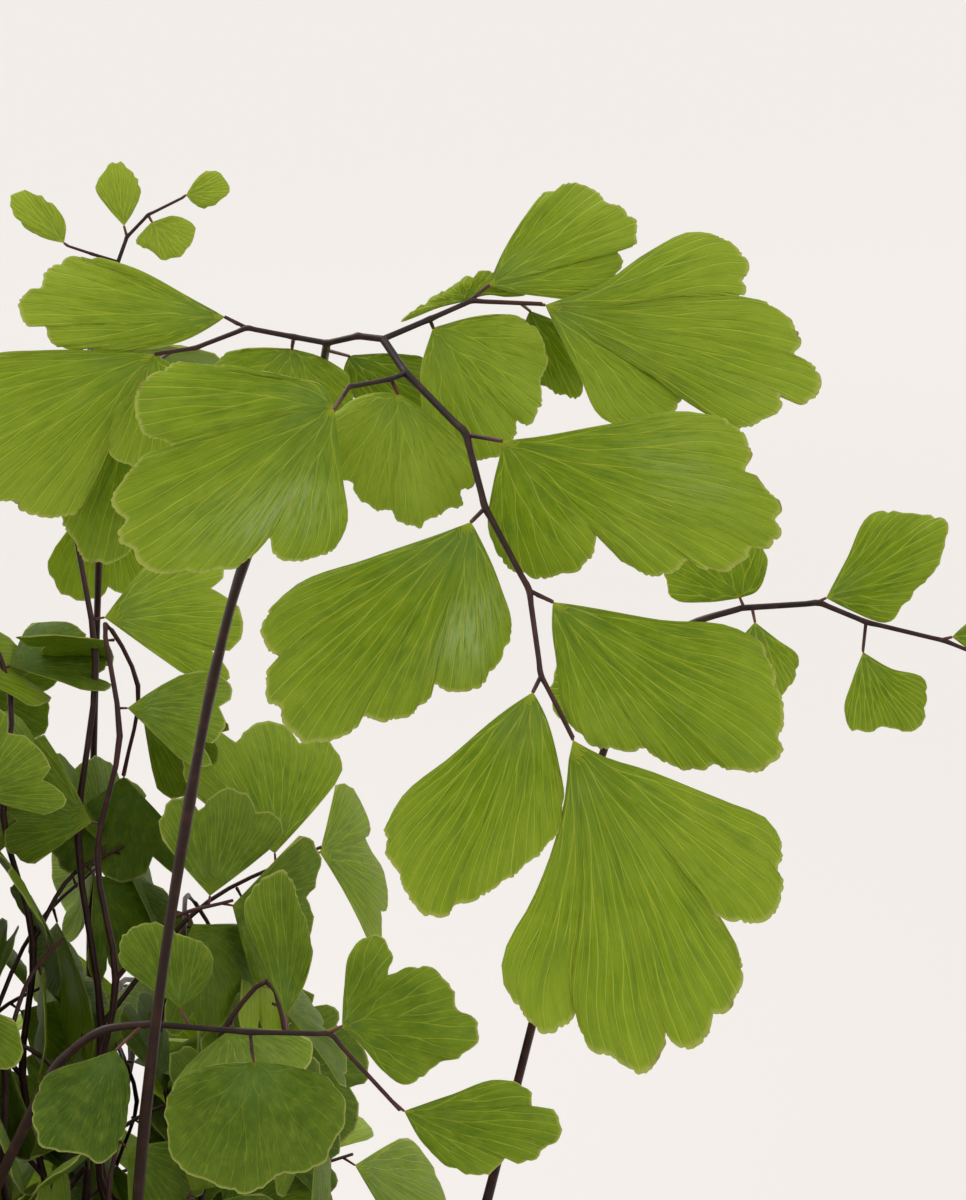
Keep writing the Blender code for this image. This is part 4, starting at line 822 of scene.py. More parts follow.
# A leaflet's tone sets its colour: above zero lighter, below zero painted shade, for leaflets behind, low
# or deep in the plant.
pictureLooks = {
    "frontFrond": {
        "frond": frontFrond, "node": "front_frond", "step": 2.15, "rows": 13, "lanes": 8.05, "wave": 0.28,
        "stipe": (0.62, 0.34),
        "tonesAndShade": {"terminal": 0.0, "left2": -0.05, "right2": -0.07, "left1": -0.12, "right1": 0.06,
                  "rightTop": 0.3, "top": 0.12, "upperLeft": 0.3, "left": 0.25, "near": -0.08,
                  "middle": 0.4, "back": 0.4, "low": 0.1, "behind": -0.2, "deep": -0.3,
                  "backTop": 0.1, "backRight": 0.0},
        # Leaflets with a patch of painted sheen, smoother there too.
        "glossAndSheen": {"left1": 1.3, "near": 1.2, "right1": 0.5}},
    "rightFrond": {
        "frond": rightFrond, "node": "right_frond", "step": 4.5, "rows": 12, "lanes": 6.9, "wave": 0.2,
        "stipe": (0.55, 0.3), "glossAndSheen": {},
        "tonesAndShade": {"upper": -0.05, "lower": -0.1, "inner": -0.12, "under": -0.12, "hidden": -0.2}},
    "lowFrond": {
        "frond": lowFrond, "node": "low_frond", "step": 4.5, "rows": 12, "lanes": 6.9, "wave": 0.25,
        "stipe": (0.7, 0.34), "glossAndSheen": {},
        "tonesAndShade": {"right": -0.42, "tip": -0.32, "under": -0.75, "leftUnder": -0.95, "upright": -0.6,
                  "leftUpright": -0.7}},
    "farFrond": {
        "frond": farFrond, "node": None, "step": 4.5, "rows": 8, "lanes": 5.75, "wave": 0.15,
        "stipe": (0.5, 0.26), "glossAndSheen": {},
        "tonesAndShade": {"left": 0.6, "top": 0.7, "middle": 0.75, "right": 0.6}},
}
pictureForm = {
    "rootShares": (0, 0.25, 0.5, 0.75), "bendShares": (0.0, 0.18, 0.82), "bendSteps": 3,
    "stipeSteps": 6, "stemSides": 10, "knot": 0.18, "knotSharp": 5, "knotFrom": 0.4, "laneSpan": 60,
    "fewestLanes": 3, "pleats": 17, "toneSpread": (-0.1, 0.15), "stipeBend": 0.45, "stipeRed": 0.1,
    "stalkRed": 0.75, "stemRed": 0.3, "shortest": 0.25, "stalk": (0.17, 0.13), "stalkReds": (0.35, 1),
    "stalkSteps": 4, "stalkSides": 8,
}


# Leaflet of the picture: its fan patch in picture points, then each point at its own distance.
def pictureLeaflet(name, label, leaflet, look):
    draws = random.Random(f"{name}-{label}-form")
    grid, u, v, width = fanPatch(leaflet["base"], leaflet["lobes"], 1.0, look["step"], look["rows"], draws)
    toward = depthAt(leaflet, grid) + ripple(u, v, draws, look["wave"] * mm, pictureForm["pleats"])
    base = seen(leaflet["base"], leaflet["depth"] * mm)
    toneAndShade = look["tonesAndShade"].get(label, draws.uniform(*pictureForm["toneSpread"]))
    width *= pixelSize
    lanes = max(pictureForm["fewestLanes"], round(look["lanes"] * width / (pictureForm["laneSpan"] * mm)))
    facts = fanFacts(u, v, lanes, width, toneAndShade, draws.random(), look["glossAndSheen"].get(label, 0.0))
    return bladeShell(base, seen(grid, toward), bladeThickness(u, v), facts), base


# Bend places: each span of a stem gets two more points, so that it runs straight between short bends.
def withBends(points):
    spans = np.diff(points, axis=0)[:, None] * np.array(pictureForm["bendShares"])[:, None]
    return np.concatenate(((points[:-1, None] + spans).reshape(-1, 3), points[-1:]))


# Knots of a stem: a bell-shaped bump at each whole number of the places along it.
def knotsAt(places):
    return np.exp(-((places - np.round(places)) * pictureForm["knotSharp"]) ** 2)


# Stem of the picture: its points with bends kept, a radius that narrows evenly and a knot at each place.
def pictureStem(points, radii, redness, steps, spanPoints=1):
    path = smoothPath(points, steps)
    places = np.arange(len(path)) / (steps * spanPoints)
    inner = (places > pictureForm["knotFrom"]) & (places < places[-1] - pictureForm["knotFrom"])
    width = np.linspace(*radii, len(path)) * (1 + pictureForm["knot"] * knotsAt(places) * inner) * mm
    return tubeShell(path, width, redness * np.linspace(0, 1, len(path)) ** 2, pictureForm["stemSides"])


# Frond of the picture: its stipe curves from the soil to the picture's lowest point of it.
def pictureFrond(name, frond, look):
    leaves = []
    root = np.array((*frond["root"], 0.0)) * mm + upward * soilDeep
    shown = seenSpots(frond["stipe"])[::-1]
    reach = np.linalg.norm(shown[0] - root)
    bend = shown[0] - unit(shown[1] - shown[0]) * reach * pictureForm["stipeBend"]
    t = np.array(pictureForm["rootShares"])[:, None]
    stipe = np.concatenate((bentCurve(root, bend, shown[0], t), shown))
    stems = [pictureStem(stipe, look["stipe"], 0.0, pictureForm["stipeSteps"])]
    stems[0]["facts"]["bark"][:, 0] = pictureForm["stipeRed"]
    spanPoints = len(pictureForm["bendShares"])
    for label, (radii, spots) in frond["stems"].items():
        red = pictureForm["stalkRed" if label.startswith("stalk") else "stemRed"]
        path = withBends(seenSpots(spots))
        stems.append(pictureStem(path, radii, red, pictureForm["bendSteps"], spanPoints))
    for label, leaflet in frond["leaflets"].items():
        shell, base = pictureLeaflet(name, label, leaflet, look)
        leaves.append(shell)
        start = seenSpots(leaflet["root"])
        if np.linalg.norm(base - start) > pictureForm["shortest"] * mm:
            stalk = smoothPath(np.stack((start, (start + base) / 2, base)), pictureForm["stalkSteps"])
            radii = np.linspace(*pictureForm["stalk"], len(stalk)) * mm
            reds = np.linspace(*pictureForm["stalkReds"], len(stalk))
            stems.append(tubeShell(stalk, radii, reds, pictureForm["stalkSides"]))
    placeFrond(name, look["node"], leaves, stems)


# Frond's two pieces, its leaflets and its stems, hung under the root. The frond's node, if it has one, is
# hidden.
def placeFrond(name, node, leaves, stems):
    leafPiece = addPiece(name + "Leaflets", joinShells(leaves), leafLook)
    stemPiece = addPiece(name + "Stems", joinShells(stems), stemLook)
    for piece in (leafPiece, stemPiece):
        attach(piece, "root")
        if node:
            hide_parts(node)


potForm = {
    "height": 96, "foot": 38, "shoulder": 50, "collar": 55, "collarHigh": 22, "wall": 5, "floor": 8,
    "edge": 1.5, "sides": 128, "drainRadius": 4, "drainOffset": 18, "drains": 3, "drill": (-8, 16),
    "drillSides": 24, "rimShares": (0.25, 0.5, 0.75, 1), "rounding": 1.1, "cornerShare": 0.45,
    "flatReach": 20, "wallLow": 6, "wallRings": 22, "rimDeep": 10, "innerRings": 8,
    "markFrom": (2.5, 4.5), "markAbove": (2, 6), "marks": ((0.07, 2.1), (0.05, 5.3)), "markSway": 0.6,
    "outOfRound": 0.12,
}
soilForm = {
    "level": 85, "dome": 4, "bump": 1.2, "waves": (210, 170, 330), "stemDeep": 14, "rings": 90,
    "spokes": 168, "grit": 420, "gap": 0.3, "innermost": 0.004, "fadeOut": 12,
    "topWithin": (0.01, 0.2), "crumbs": ((0.35, 900, 14, 3), (0.22, 2300, 18, 4), (0.12, 5200, 20, 5)),
    "paceSpread": (0.6, 1.4),
}
soilDeep = (soilForm["level"] - soilForm["stemDeep"]) * mm

for name, look in pictureLooks.items():
    pictureFrond(name, look["frond"], look)
print("picture fronds done")

growth = {
    "rings": (
        dict(count=9, start=-72, turn=36, root=26, reach=116, rise=168, tall=0.17, drop=58, size=19.5,
             nodes=8, branches=3),
        dict(count=5, start=-50, turn=70, root=17, reach=82, rise=196, tall=0.17, drop=38, size=18.5,
             nodes=8, branches=3),
        dict(count=3, start=88, turn=52, root=8, reach=50, rise=280, tall=0, drop=24, size=16.5,
             nodes=7, branches=2),
    ),
    "lobes": ((-1.0, 0.78), (-0.70, 0.98), (-0.34, 0.98), (-0.22, 0.86), (0.06, 1.0), (0.44, 1.0),
              (0.56, 0.87), (1.0, 0.86)),
    "tries": 12, "tallSide": 155, "stipeSteps": 4, "curveSteps": 60, "bareShare": 0.46,
    "nodeShrink": 0.94, "zigzag": 1.1, "spread": 58, "branchLength": 36, "branchShrink": 0.84,
    "branchSag": 0.16, "leafletSpread": 62, "hang": 0.38, "faceOut": 0.8, "outwardPull": 20,
    "tipShrink": 0.05, "stemBends": ((0.10, 0.86), (0.62, 1.13)), "riseVary": (0.97, 1.03),
    "reachVary": (0.94, 1.04), "sway": 9, "stemTurn": 6, "branchTurn": 6, "branchLift": (-0.08, 0.12),
    "branchLiftStep": 0.6, "branchVary": (0.92, 1.06), "leafletTurn": 8, "leafletTilt": 0.2,
    "leafletRoll": 12, "rollStep": 7, "sizeStep": 0.025, "droop": (0.06, 0.24), "cup": (-0.16, 0.02),
    "twist": (-0.1, 0.1), "fanHalf": (40, 49), "fanSkew": (0.02, 0.12), "lobeVary": (0.95, 1.04),
    "lobeTurn": 2, "joinPast": 0.25, "farShare": 0.6, "sink": 1.2, "blade": 0.62,
}
grownForm = {
    "stipeAway": 0.85, "branchAway": 0.45, "branchMiss": 0.6, "leafletMiss": 0.1, "baseAt": 0.10,
    "bulge": 1.0396, "sideShare": 0.82, "sideLift": 0.1, "unitSize": 0.1, "wave": 0.22, "pleats": 11,
    "lanes": 4, "tonesAndShade": (-0.22, 0.3), "stalk": (0.19, 0.15, 0.13), "stalkReds": (0.2, 0.5, 0.9),
    "stalkSides": 6, "stemSteps": 4, "stemRadii": (0.85, 0.42, 0.2), "knot": 0.25, "stemRed": 0.25,
    "stemSides": 8, "branchSteps": 5, "branchRadii": (0.3, 0.18), "branchReds": (0.1, 0.4),
}


# Angle in radians drawn evenly between the given degrees to either side.
def drawnAngle(draws, degrees):
    return draws.uniform(-math.radians(degrees), math.radians(degrees))


# Point a share of the way from one point of a path to the next.
def past(path, index, share=growth["joinPast"]):
    return path[index] * (1 - share) + path[index + 1] * share


# Distance from each point to the nearest vertex of a node.
def nearest(points, vertices):
    return np.linalg.norm(np.asarray(points)[:, None] - vertices[None], axis=2).min(axis=1)


# Fan of three lobes: each point's radius is the size times its reach, skewed and varied a little.
def fanOutline(draws, size, hand):
    half = math.radians(draws.uniform(*growth["fanHalf"]))
    skew = draws.uniform(*growth["fanSkew"]) * (hand or draws.choice((-1, 1)))
    flat = [(0.0, 0.0)]
    for place, reach in growth["lobes"]:
        radius = size * (reach + skew * place) * draws.uniform(*growth["lobeVary"])
        angle = half * place + math.radians(draws.uniform(-growth["lobeTurn"], growth["lobeTurn"]))
        flat.append((radius * math.sin(angle), radius * math.cos(angle)))
    return np.array(flat)


# Grown frond. Each of its choices is drawn anew for each try, and the try that fits the node is used.
# A young frond has no node and takes its first try.
class GrownFrond:
    # The frond's rule, its bearing in degrees and its node's vertices.
    def __init__(self, name, plan, azimuth, vertices=None):
        self.name = name
        self.plan = plan
        self.azimuth = azimuth
        self.vertices = vertices
        self.tries = range(1 if vertices is None else growth["tries"])
        self.leaves, self.stems = [], []
        self.found, self.missing = 0, 0

    # Random draws that start anew from the frond's name and the labels.
    def draws(self, *labels):
        return random.Random("-".join(map(str, (self.name, *labels))))

    # Cubic curve from the soil up and over, cut at shares of its length, bent to a side at each node.
    def stemPath(self, attempt):
        draws = self.draws("stem", attempt)
        plan = self.plan
        aside = (attempt + 1) // 2 * (growth["stemTurn"] if attempt % 2 else -growth["stemTurn"])
        angle = math.radians(self.azimuth + aside)
        self.outward = np.array((math.cos(angle), math.sin(angle), 0.0))
        self.sideways = np.cross(upward, self.outward)
        tall = 1 + plan["tall"] * math.cos(math.radians(self.azimuth - growth["tallSide"]))
        rise = plan["rise"] * mm * tall * draws.uniform(*growth["riseVary"])
        reach = plan["reach"] * mm * draws.uniform(*growth["reachVary"])
        sway = draws.uniform(-growth["sway"], growth["sway"]) * mm
        root = plan["root"] * mm
        (lowReach, lowRise), (highReach, highRise) = growth["stemBends"]
        a = self.outward * root + upward * soilDeep
        b = self.outward * (root + lowReach * reach) + upward * (lowRise * rise)
        c = self.outward * (highReach * reach) + upward * (highRise * rise) + self.sideways * sway
        d = self.outward * reach + upward * (rise - plan["drop"] * mm) + self.sideways * sway
        steps = growth["nodeShrink"] ** np.arange(plan["nodes"])
        bare = growth["bareShare"]
        rachis = bare + (1 - bare) * np.cumsum(steps) / steps.sum()
        shares = np.concatenate((np.linspace(0, bare, growth["stipeSteps"] + 1), rachis))
        t = np.linspace(0, 1, growth["curveSteps"] + 1)[:, None]
        curve = a * (1 - t) ** 3 + 3 * b * (1 - t) ** 2 * t + 3 * c * (1 - t) * t**2 + d * t**3
        path = atShares(curve, shares)
        bends = growth["zigzag"] * mm * (-1.0) ** np.arange(plan["nodes"] + 1)
        path[growth["stipeSteps"]:] += np.outer(bends, self.sideways)
        return path

    # How far points are from standing a given distance off the node's vertices, added up.
    def miss(self, points, away):
        return 0.0 if self.vertices is None else np.abs(nearest(points, self.vertices) - away * mm).sum()

    # Stem of the try whose lower points stand off the node's vertices by the least wrong distance.
    def findStem(self):
        misses = [self.miss(self.stemPath(attempt)[1:4], grownForm["stipeAway"]) for attempt in self.tries]
        self.main = self.stemPath(int(np.argmin(misses)))
        self.stemMiss = min(misses)

    # Directions at a point of the stem: ahead from the point before to the one after, aside and up from it.
    def frameAt(self, index):
        before = self.main[max(index - 1, 0)]
        after = self.main[min(index + 1, len(self.main) - 1)]
        ahead = unit(after - before)
        side = unit(self.sideways - ahead * self.sideways.dot(ahead))
        return ahead, side, np.cross(ahead, side)

    # Side branch: it leaves the stem at an angle and sags by the square of its length.
    def branchPath(self, index, hand, rank, attempt):
        draws = self.draws("branch", index, attempt)
        ahead, side, face = self.frameAt(index)
        spread = math.radians(growth["spread"]) + drawnAngle(draws, growth["branchTurn"]) * (1 + attempt)
        lift = draws.uniform(*growth["branchLift"]) * (1 + attempt * growth["branchLiftStep"])
        heading = unit(ahead * math.cos(spread) + side * hand * math.sin(spread) + face * lift)
        length = self.plan.get("branchLength", growth["branchLength"]) * mm * growth["branchShrink"] ** rank
        length *= draws.uniform(*growth["branchVary"])
        steps = (np.array((0.0, 0.5, 1.0)) * length)[:, None]
        sag = upward * growth["branchSag"] * steps * steps / length
        return past(self.main, index) + heading * steps - sag

    # Branch of the try that misses the node least, unless even that one misses it.
    def findBranch(self, index, hand, rank):
        paths = [self.branchPath(index, hand, rank, attempt) for attempt in self.tries]
        misses = [self.miss(path[1:], grownForm["branchAway"]) for path in paths]
        best = int(np.argmin(misses))
        return paths[best] if misses[best] < grownForm["branchMiss"] * mm else None

    # Leaflet's plane, curve and coarse outline for one try.
    def leafletPlan(self, label, spot, ahead, side, face, hand, size, attempt):
        draws = self.draws(label, attempt)
        spread = math.radians(growth["leafletSpread"]) * abs(hand)
        spread += drawnAngle(draws, growth["leafletTurn"])
        heading = ahead * math.cos(spread) + side * (hand or 1) * math.sin(spread) - upward * growth["hang"]
        pull = np.array((spot[0], spot[1], 0.0)) + self.outward * growth["outwardPull"] * mm
        face = unit(face + unit(pull) * growth["faceOut"])
        face = unit(face + ahead * draws.uniform(-growth["leafletTilt"], growth["leafletTilt"]))
        heading = unit(heading - face * face.dot(heading))
        roll = draws.uniform(-1, 1) * math.radians(growth["leafletRoll"] + growth["rollStep"] * attempt)
        level = np.cross(heading, face)
        flat = fanOutline(draws, size * (1 - growth["sizeStep"] * attempt), hand)
        curve = [draws.uniform(*growth[key]) for key in ("droop", "cup", "twist")]
        across = level * math.cos(roll) + face * math.sin(roll)
        up = face * math.cos(roll) - level * math.sin(roll)
        return {"spot": spot, "across": across, "heading": heading, "up": up, "flat": flat, "curve": curve,
                "size": size}

    # Points of a leaflet: its plane plus a warp of droop, cup and twist over its size.
    def onLeaflet(self, plan, flat, extra=0.0):
        droop, cup, twist = plan["curve"]
        x, y = flat[..., 0], flat[..., 1]
        warp = (-droop * y * y + cup * x * x + twist * x * y) / plan["size"] + extra
        inPlane = x[..., None] * plan["across"] + y[..., None] * plan["heading"]
        return plan["spot"] + inPlane + warp[..., None] * plan["up"]

    # Middle distance of a leaflet's outline, on both faces of its blade, from the node's vertices.
    def leafletMiss(self, plan):
        if self.vertices is None:
            return 0.0
        points = self.onLeaflet(plan, plan["flat"])[1:]
        lift = plan["up"] * growth["blade"] * mm / 2
        return np.median(nearest(np.concatenate((points + lift, points - lift)), self.vertices))

    # Leaflet of the try that misses the node least, unless even that one misses it.
    def findLeaflet(self, label, spot, frameHere, hand, size):
        plans = [self.leafletPlan(label, spot, *frameHere, hand, size, attempt) for attempt in self.tries]
        misses = [self.leafletMiss(plan) for plan in plans]
        best = int(np.argmin(misses))
        if misses[best] < grownForm["leafletMiss"] * mm:
            self.makeLeaflet(label, plans[best])
            self.found += 1
        else:
            self.missing += 1

    # Smooth leaflet on a coarse plan: three rounded lobes through its points, and a short stalk.
    def makeLeaflet(self, label, plan):
        draws = self.draws(label, "form")
        flat = plan["flat"]
        base = np.array((0.0, grownForm["baseAt"] * plan["size"]))
        bulge = unit(flat[7] + flat[8]) * grownForm["bulge"] * plan["size"]
        left, right = flat[[1, 8]] * grownForm["sideShare"] + base * grownForm["sideLift"]
        lobes = [(base, left, *flat[1:5]), flat[4:8], (flat[7], bulge, flat[8], right, base)]
        grid, u, v, width = fanPatch(base, lobes, grownForm["unitSize"] * mm, self.step, self.rows, draws)
        waves = ripple(u, v, draws, grownForm["wave"] * mm, grownForm["pleats"])
        points = self.onLeaflet(plan, grid, waves)
        start = self.onLeaflet(plan, base[None])[0]
        toneAndShade = draws.uniform(*grownForm["tonesAndShade"]) + self.toneAndShade
        facts = fanFacts(u, v, grownForm["lanes"], width, toneAndShade, draws.random(), 0.0)
        self.leaves.append(bladeShell(start, points, bladeThickness(u, v), facts))
        stalk = np.stack((plan["spot"], (plan["spot"] + start) / 2, start))
        radii = np.array(grownForm["stalk"]) * mm
        self.stems.append(tubeShell(stalk, radii, grownForm["stalkReds"], grownForm["stalkSides"]))

    # Stem: its radius is read off between three radii and times a knot's bump at each node.
    def makeStem(self, first, last):
        path = smoothPath(self.main, grownForm["stemSteps"])
        share = np.linspace(0, last, len(path))
        width = np.interp(share, (0, first, last), grownForm["stemRadii"])
        knots = 1 + grownForm["knot"] * knotsAt(share) * (share > first - 0.5)
        reds = share / last * grownForm["stemRed"]
        self.stems.append(tubeShell(path, width * knots * mm, reds, grownForm["stemSides"]))

    # Branch with three leaflets: one on each side and one at its tip.
    def growBranch(self, index, hand, rank, size):
        branch = self.findBranch(index, hand, rank)
        if branch is None:
            return
        path = smoothPath(np.concatenate((self.main[index][None], branch[1:])), grownForm["branchSteps"])
        radii = np.linspace(*grownForm["branchRadii"], len(path)) * mm
        reds = np.linspace(*grownForm["branchReds"], len(path))
        self.stems.append(tubeShell(path, radii, reds, grownForm["stemSides"]))
        heading = unit(branch[2] - branch[1])
        face = self.frameAt(index)[2]
        face = unit(face - heading * face.dot(heading))
        frameHere = (heading, np.cross(face, heading), face)
        spots = ((past(branch, 1), hand), (past(branch, 1, growth["farShare"]), -hand),
                 (branch[2] - heading * growth["sink"] * mm, 0))
        for number, (spot, side) in enumerate(spots):
            self.findLeaflet(f"branch{rank}leaf{number}", spot, frameHere, side, size)

    # Frond: its stem, the branches above the stipe, then single leaflets by turns up to the tip.
    def grow(self, node, step=8.5, rows=6, toneAndShade=0.0):
        self.step, self.rows, self.toneAndShade = step, rows, toneAndShade
        self.findStem()
        first = growth["stipeSteps"]
        last = len(self.main) - 1
        begin = first + self.plan["branches"]
        size = self.plan["size"] * mm
        self.makeStem(first, last)
        for rank in range(self.plan["branches"]):
            self.growBranch(first + rank, -1 if rank % 2 else 1, rank, size)
        for index in range(begin, last):
            hand = -1 if (index - first) % 2 else 1
            small = size * (1 - growth["tipShrink"] * (index - begin))
            self.findLeaflet(f"leaf{index}", past(self.main, index), self.frameAt(index), hand, small)
        frameHere = self.frameAt(last)
        tip = self.main[last] - frameHere[0] * growth["sink"] * mm
        self.findLeaflet(f"leaf{last}", tip, frameHere, 0, size)
        placeFrond(self.name.replace("_", ""), node, self.leaves, self.stems)


# Vertices of one node of the part.
def nodeVertices(name):
    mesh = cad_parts[name].data
    values = np.empty(len(mesh.vertices) * 3, dtype=np.float32)
    mesh.vertices.foreach_get("co", values)
    return values.reshape(-1, 3).astype(float)


number = 0
for ring in growth["rings"]:
    for place in range(ring["count"]):
        number += 1
        label = f"frond_{number:02d}"
        grown = GrownFrond(label, ring, ring["start"] + place * ring["turn"], nodeVertices(label))
        grown.grow(label)
        miss = round(grown.stemMiss / mm, 2)
        print(label, "stem miss", miss, "leaflets", grown.found, "left out", grown.missing)
print("grown fronds done")

# Young fronds: azimuth in degrees, then root, reach and rise in mm.
undergrowth = {
    "plan": dict(tall=0, drop=22, size=12.5, nodes=8, branches=4, branchLength=25),
    "fronds": (
        (100, 6, 30, 205), (128, 13, 52, 222), (152, 8, 38, 196), (176, 15, 60, 214), (202, 9, 44, 186),
        (228, 14, 54, 170), (256, 10, 40, 160), (62, 12, 42, 216), (20, 12, 40, 186), (80, 5, 24, 244),
        (110, 10, 36, 256), (150, 5, 20, 238), (190, 12, 30, 232), (215, 7, 22, 214), (300, 7, 18, 206),
        (350, 8, 26, 218), (240, 16, 32, 196), (160, 17, 44, 250),
    ),
    # The young fronds' negative tone is painted shade deep inside the plant.
    "step": 8.5, "rows": 4, "toneAndShade": -0.75,
}

for place, (azimuth, root, reach, rise) in enumerate(undergrowth["fronds"]):
    plan = dict(undergrowth["plan"], root=root, reach=reach, rise=rise)
    young = GrownFrond(f"youngFrond{place + 1:02d}", plan, azimuth)
    young.grow(None, undergrowth["step"], undergrowth["rows"], undergrowth["toneAndShade"])
print("young fronds done")


# Corners rounded: each corner becomes a curve between the points a short way before and after it.
def rounded(profile, radius, steps=4):
    profile = np.asarray(profile, dtype=float)
    corner = profile[1:-1]

    # Point a radius, or a share of a short side, away from the corner.
    def onTheWay(away):
        lengths = np.linalg.norm(away, axis=1)
        return corner + unit(away) * np.minimum(radius, lengths * potForm["cornerShare"])[:, None]

    start, end = onTheWay(profile[:-2] - corner), onTheWay(profile[2:] - corner)
    t = np.linspace(0, 1, steps + 1)[None, :, None]
    curve = bentCurve(start[:, None], corner[:, None], end[:, None], t)
    return np.concatenate((profile[:1], curve.reshape(-1, 2), profile[-1:]))


# Turned body: each profile point goes round the axis, and the two end points lie on the axis.
def turnedShell(profile, sides, shape=None):
    angle = around(sides)
    inner = profile[1:-1]
    radius = np.broadcast_to(inner[:, :1], (len(inner), sides)).copy()
    height = np.broadcast_to(inner[:, 1:], (len(inner), sides)).copy()
    if shape:
        radius, height = shape(radius, height, angle[None, :])
    rings = np.stack((radius * np.cos(angle), radius * np.sin(angle), height), axis=-1)
    return ringShell(rings, [(0, 0, profile[0, 1]), (0, 0, profile[-1, 1])], {})


# Outer radius in mm, which grows evenly from the foot to the shoulder.
def wallRadius(height):
    shoulder = potForm["height"] - potForm["collarHigh"]
    return potForm["foot"] + (potForm["shoulder"] - potForm["foot"]) * height / shoulder


# Inner radius in mm: the outer one less the wall.
def innerRadius(height):
    return wallRadius(height) - potForm["wall"]


# Pot wall: the turned profile, moved in and out by slow and fine throwing marks on its outer face.
def throwingMarks(radius, height, angle):
    up = height / mm
    outer = ease(radius / mm - innerRadius(up), *potForm["markFrom"]) * ease(up, *potForm["markAbove"])
    (slowDeep, slowPace), (fineDeep, finePace) = potForm["marks"]
    marks = slowDeep * np.sin(up * slowPace + potForm["markSway"] * np.sin(angle))
    marks = marks + fineDeep * np.sin(up * finePace) + potForm["outOfRound"] * np.sin(2 * angle + 1)
    return radius + marks * mm * outer, height


# Pot: its foot, wall, collar, rim and inside in one closed profile, with the drainage holes cut out.
def buildPot():
    shoulder = potForm["height"] - potForm["collarHigh"]
    mouth = innerRadius(potForm["height"])
    edge, top, collar, floor = (potForm[key] for key in ("edge", "height", "collar", "floor"))
    flat = potForm["flatReach"]
    profile = [(0, 0), (flat, 0), (potForm["foot"] - edge, 0), (potForm["foot"], edge)]
    profile += [(wallRadius(z), z) for z in np.linspace(potForm["wallLow"], shoulder, potForm["wallRings"])]
    profile += [(collar - edge, shoulder), (collar, shoulder + edge)]
    rise = top - shoulder - 2 * edge
    profile += [(collar + edge * share, shoulder + edge + rise * share) for share in potForm["rimShares"]]
    profile += [(collar, top), (mouth + edge, top), (mouth, top - edge)]
    inside = np.linspace(top - potForm["rimDeep"], floor, potForm["innerRings"])
    profile += [(innerRadius(z), z) for z in inside] + [(flat, floor), (0, floor)]
    shell = turnedShell(rounded(profile, potForm["rounding"]) * mm, potForm["sides"], throwingMarks)
    pot = addPiece("clayPot", shell, clayLook, sharpAngle=0.9)
    cutter = addPiece("potDrill", drillShell(), clayLook, sharpAngle=0.9)
    cut = pot.modifiers.new("drains", "BOOLEAN")
    cut.operation = "DIFFERENCE"
    cut.solver = "EXACT"
    cut.object = cutter
    holed = bpy.data.meshes.new_from_object(pot.evaluated_get(bpy.context.evaluated_depsgraph_get()))
    pot.modifiers.clear()
    pot.data = holed
    bpy.data.objects.remove(cutter, do_unlink=True)
    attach(pot, "root")
    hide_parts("pot")


# Upright round drill through the pot's floor, one for each drainage hole.
def drillShell():
    shells = []
    for i in range(potForm["drains"]):
        angle = (i + 0.5) * fullTurn / potForm["drains"]
        spot = np.array((math.cos(angle), math.sin(angle), 0.0)) * potForm["drainOffset"] * mm
        path = spot + np.outer(np.linspace(*potForm["drill"], 4), upward) * mm
        radii = np.full(4, potForm["drainRadius"] * mm)
        shells.append(tubeShell(path, radii, np.zeros(4), potForm["drillSides"]))
        shells[-1]["facts"] = {}
    return joinShells(shells)


buildPot()
print("pot done")


# Slow and fine bumps: the mean of sine waves of random headings about one wave number.
def bumps(x, y, waveNumber, amount, label):
    draws = np.random.default_rng(label)
    heading = draws.uniform(0, fullTurn, amount)
    pace = waveNumber * draws.uniform(*soilForm["paceSpread"], amount)
    phase = draws.uniform(0, fullTurn, amount)
    waves = np.sin(x[..., None] * pace * np.cos(heading) + y[..., None] * pace * np.sin(heading) + phase)
    return waves.mean(axis=-1) * math.sqrt(amount)


# Soil's height: a low dome with the part's own bumps and with finer crumbs over them.
def soilHeight(x, y):
    reach = np.hypot(x, y) / (innerRadius(soilForm["level"]) * mm)
    waveX, waveY, waveBoth = soilForm["waves"]
    slow = np.sin(waveX * x + 1) * np.cos(waveY * y) + np.sin(waveBoth * (x + y)) / 2
    crumbs = sum(high * bumps(x, y, *wave) for high, *wave in soilForm["crumbs"])
    inside = np.clip(1 - reach**4, 0, 1)
    height = soilForm["level"] + soilForm["dome"] * (1 - reach**2) + soilForm["bump"] * slow * inside
    return (height + crumbs * np.clip((1 - reach) * soilForm["fadeOut"], 0, 1)) * mm


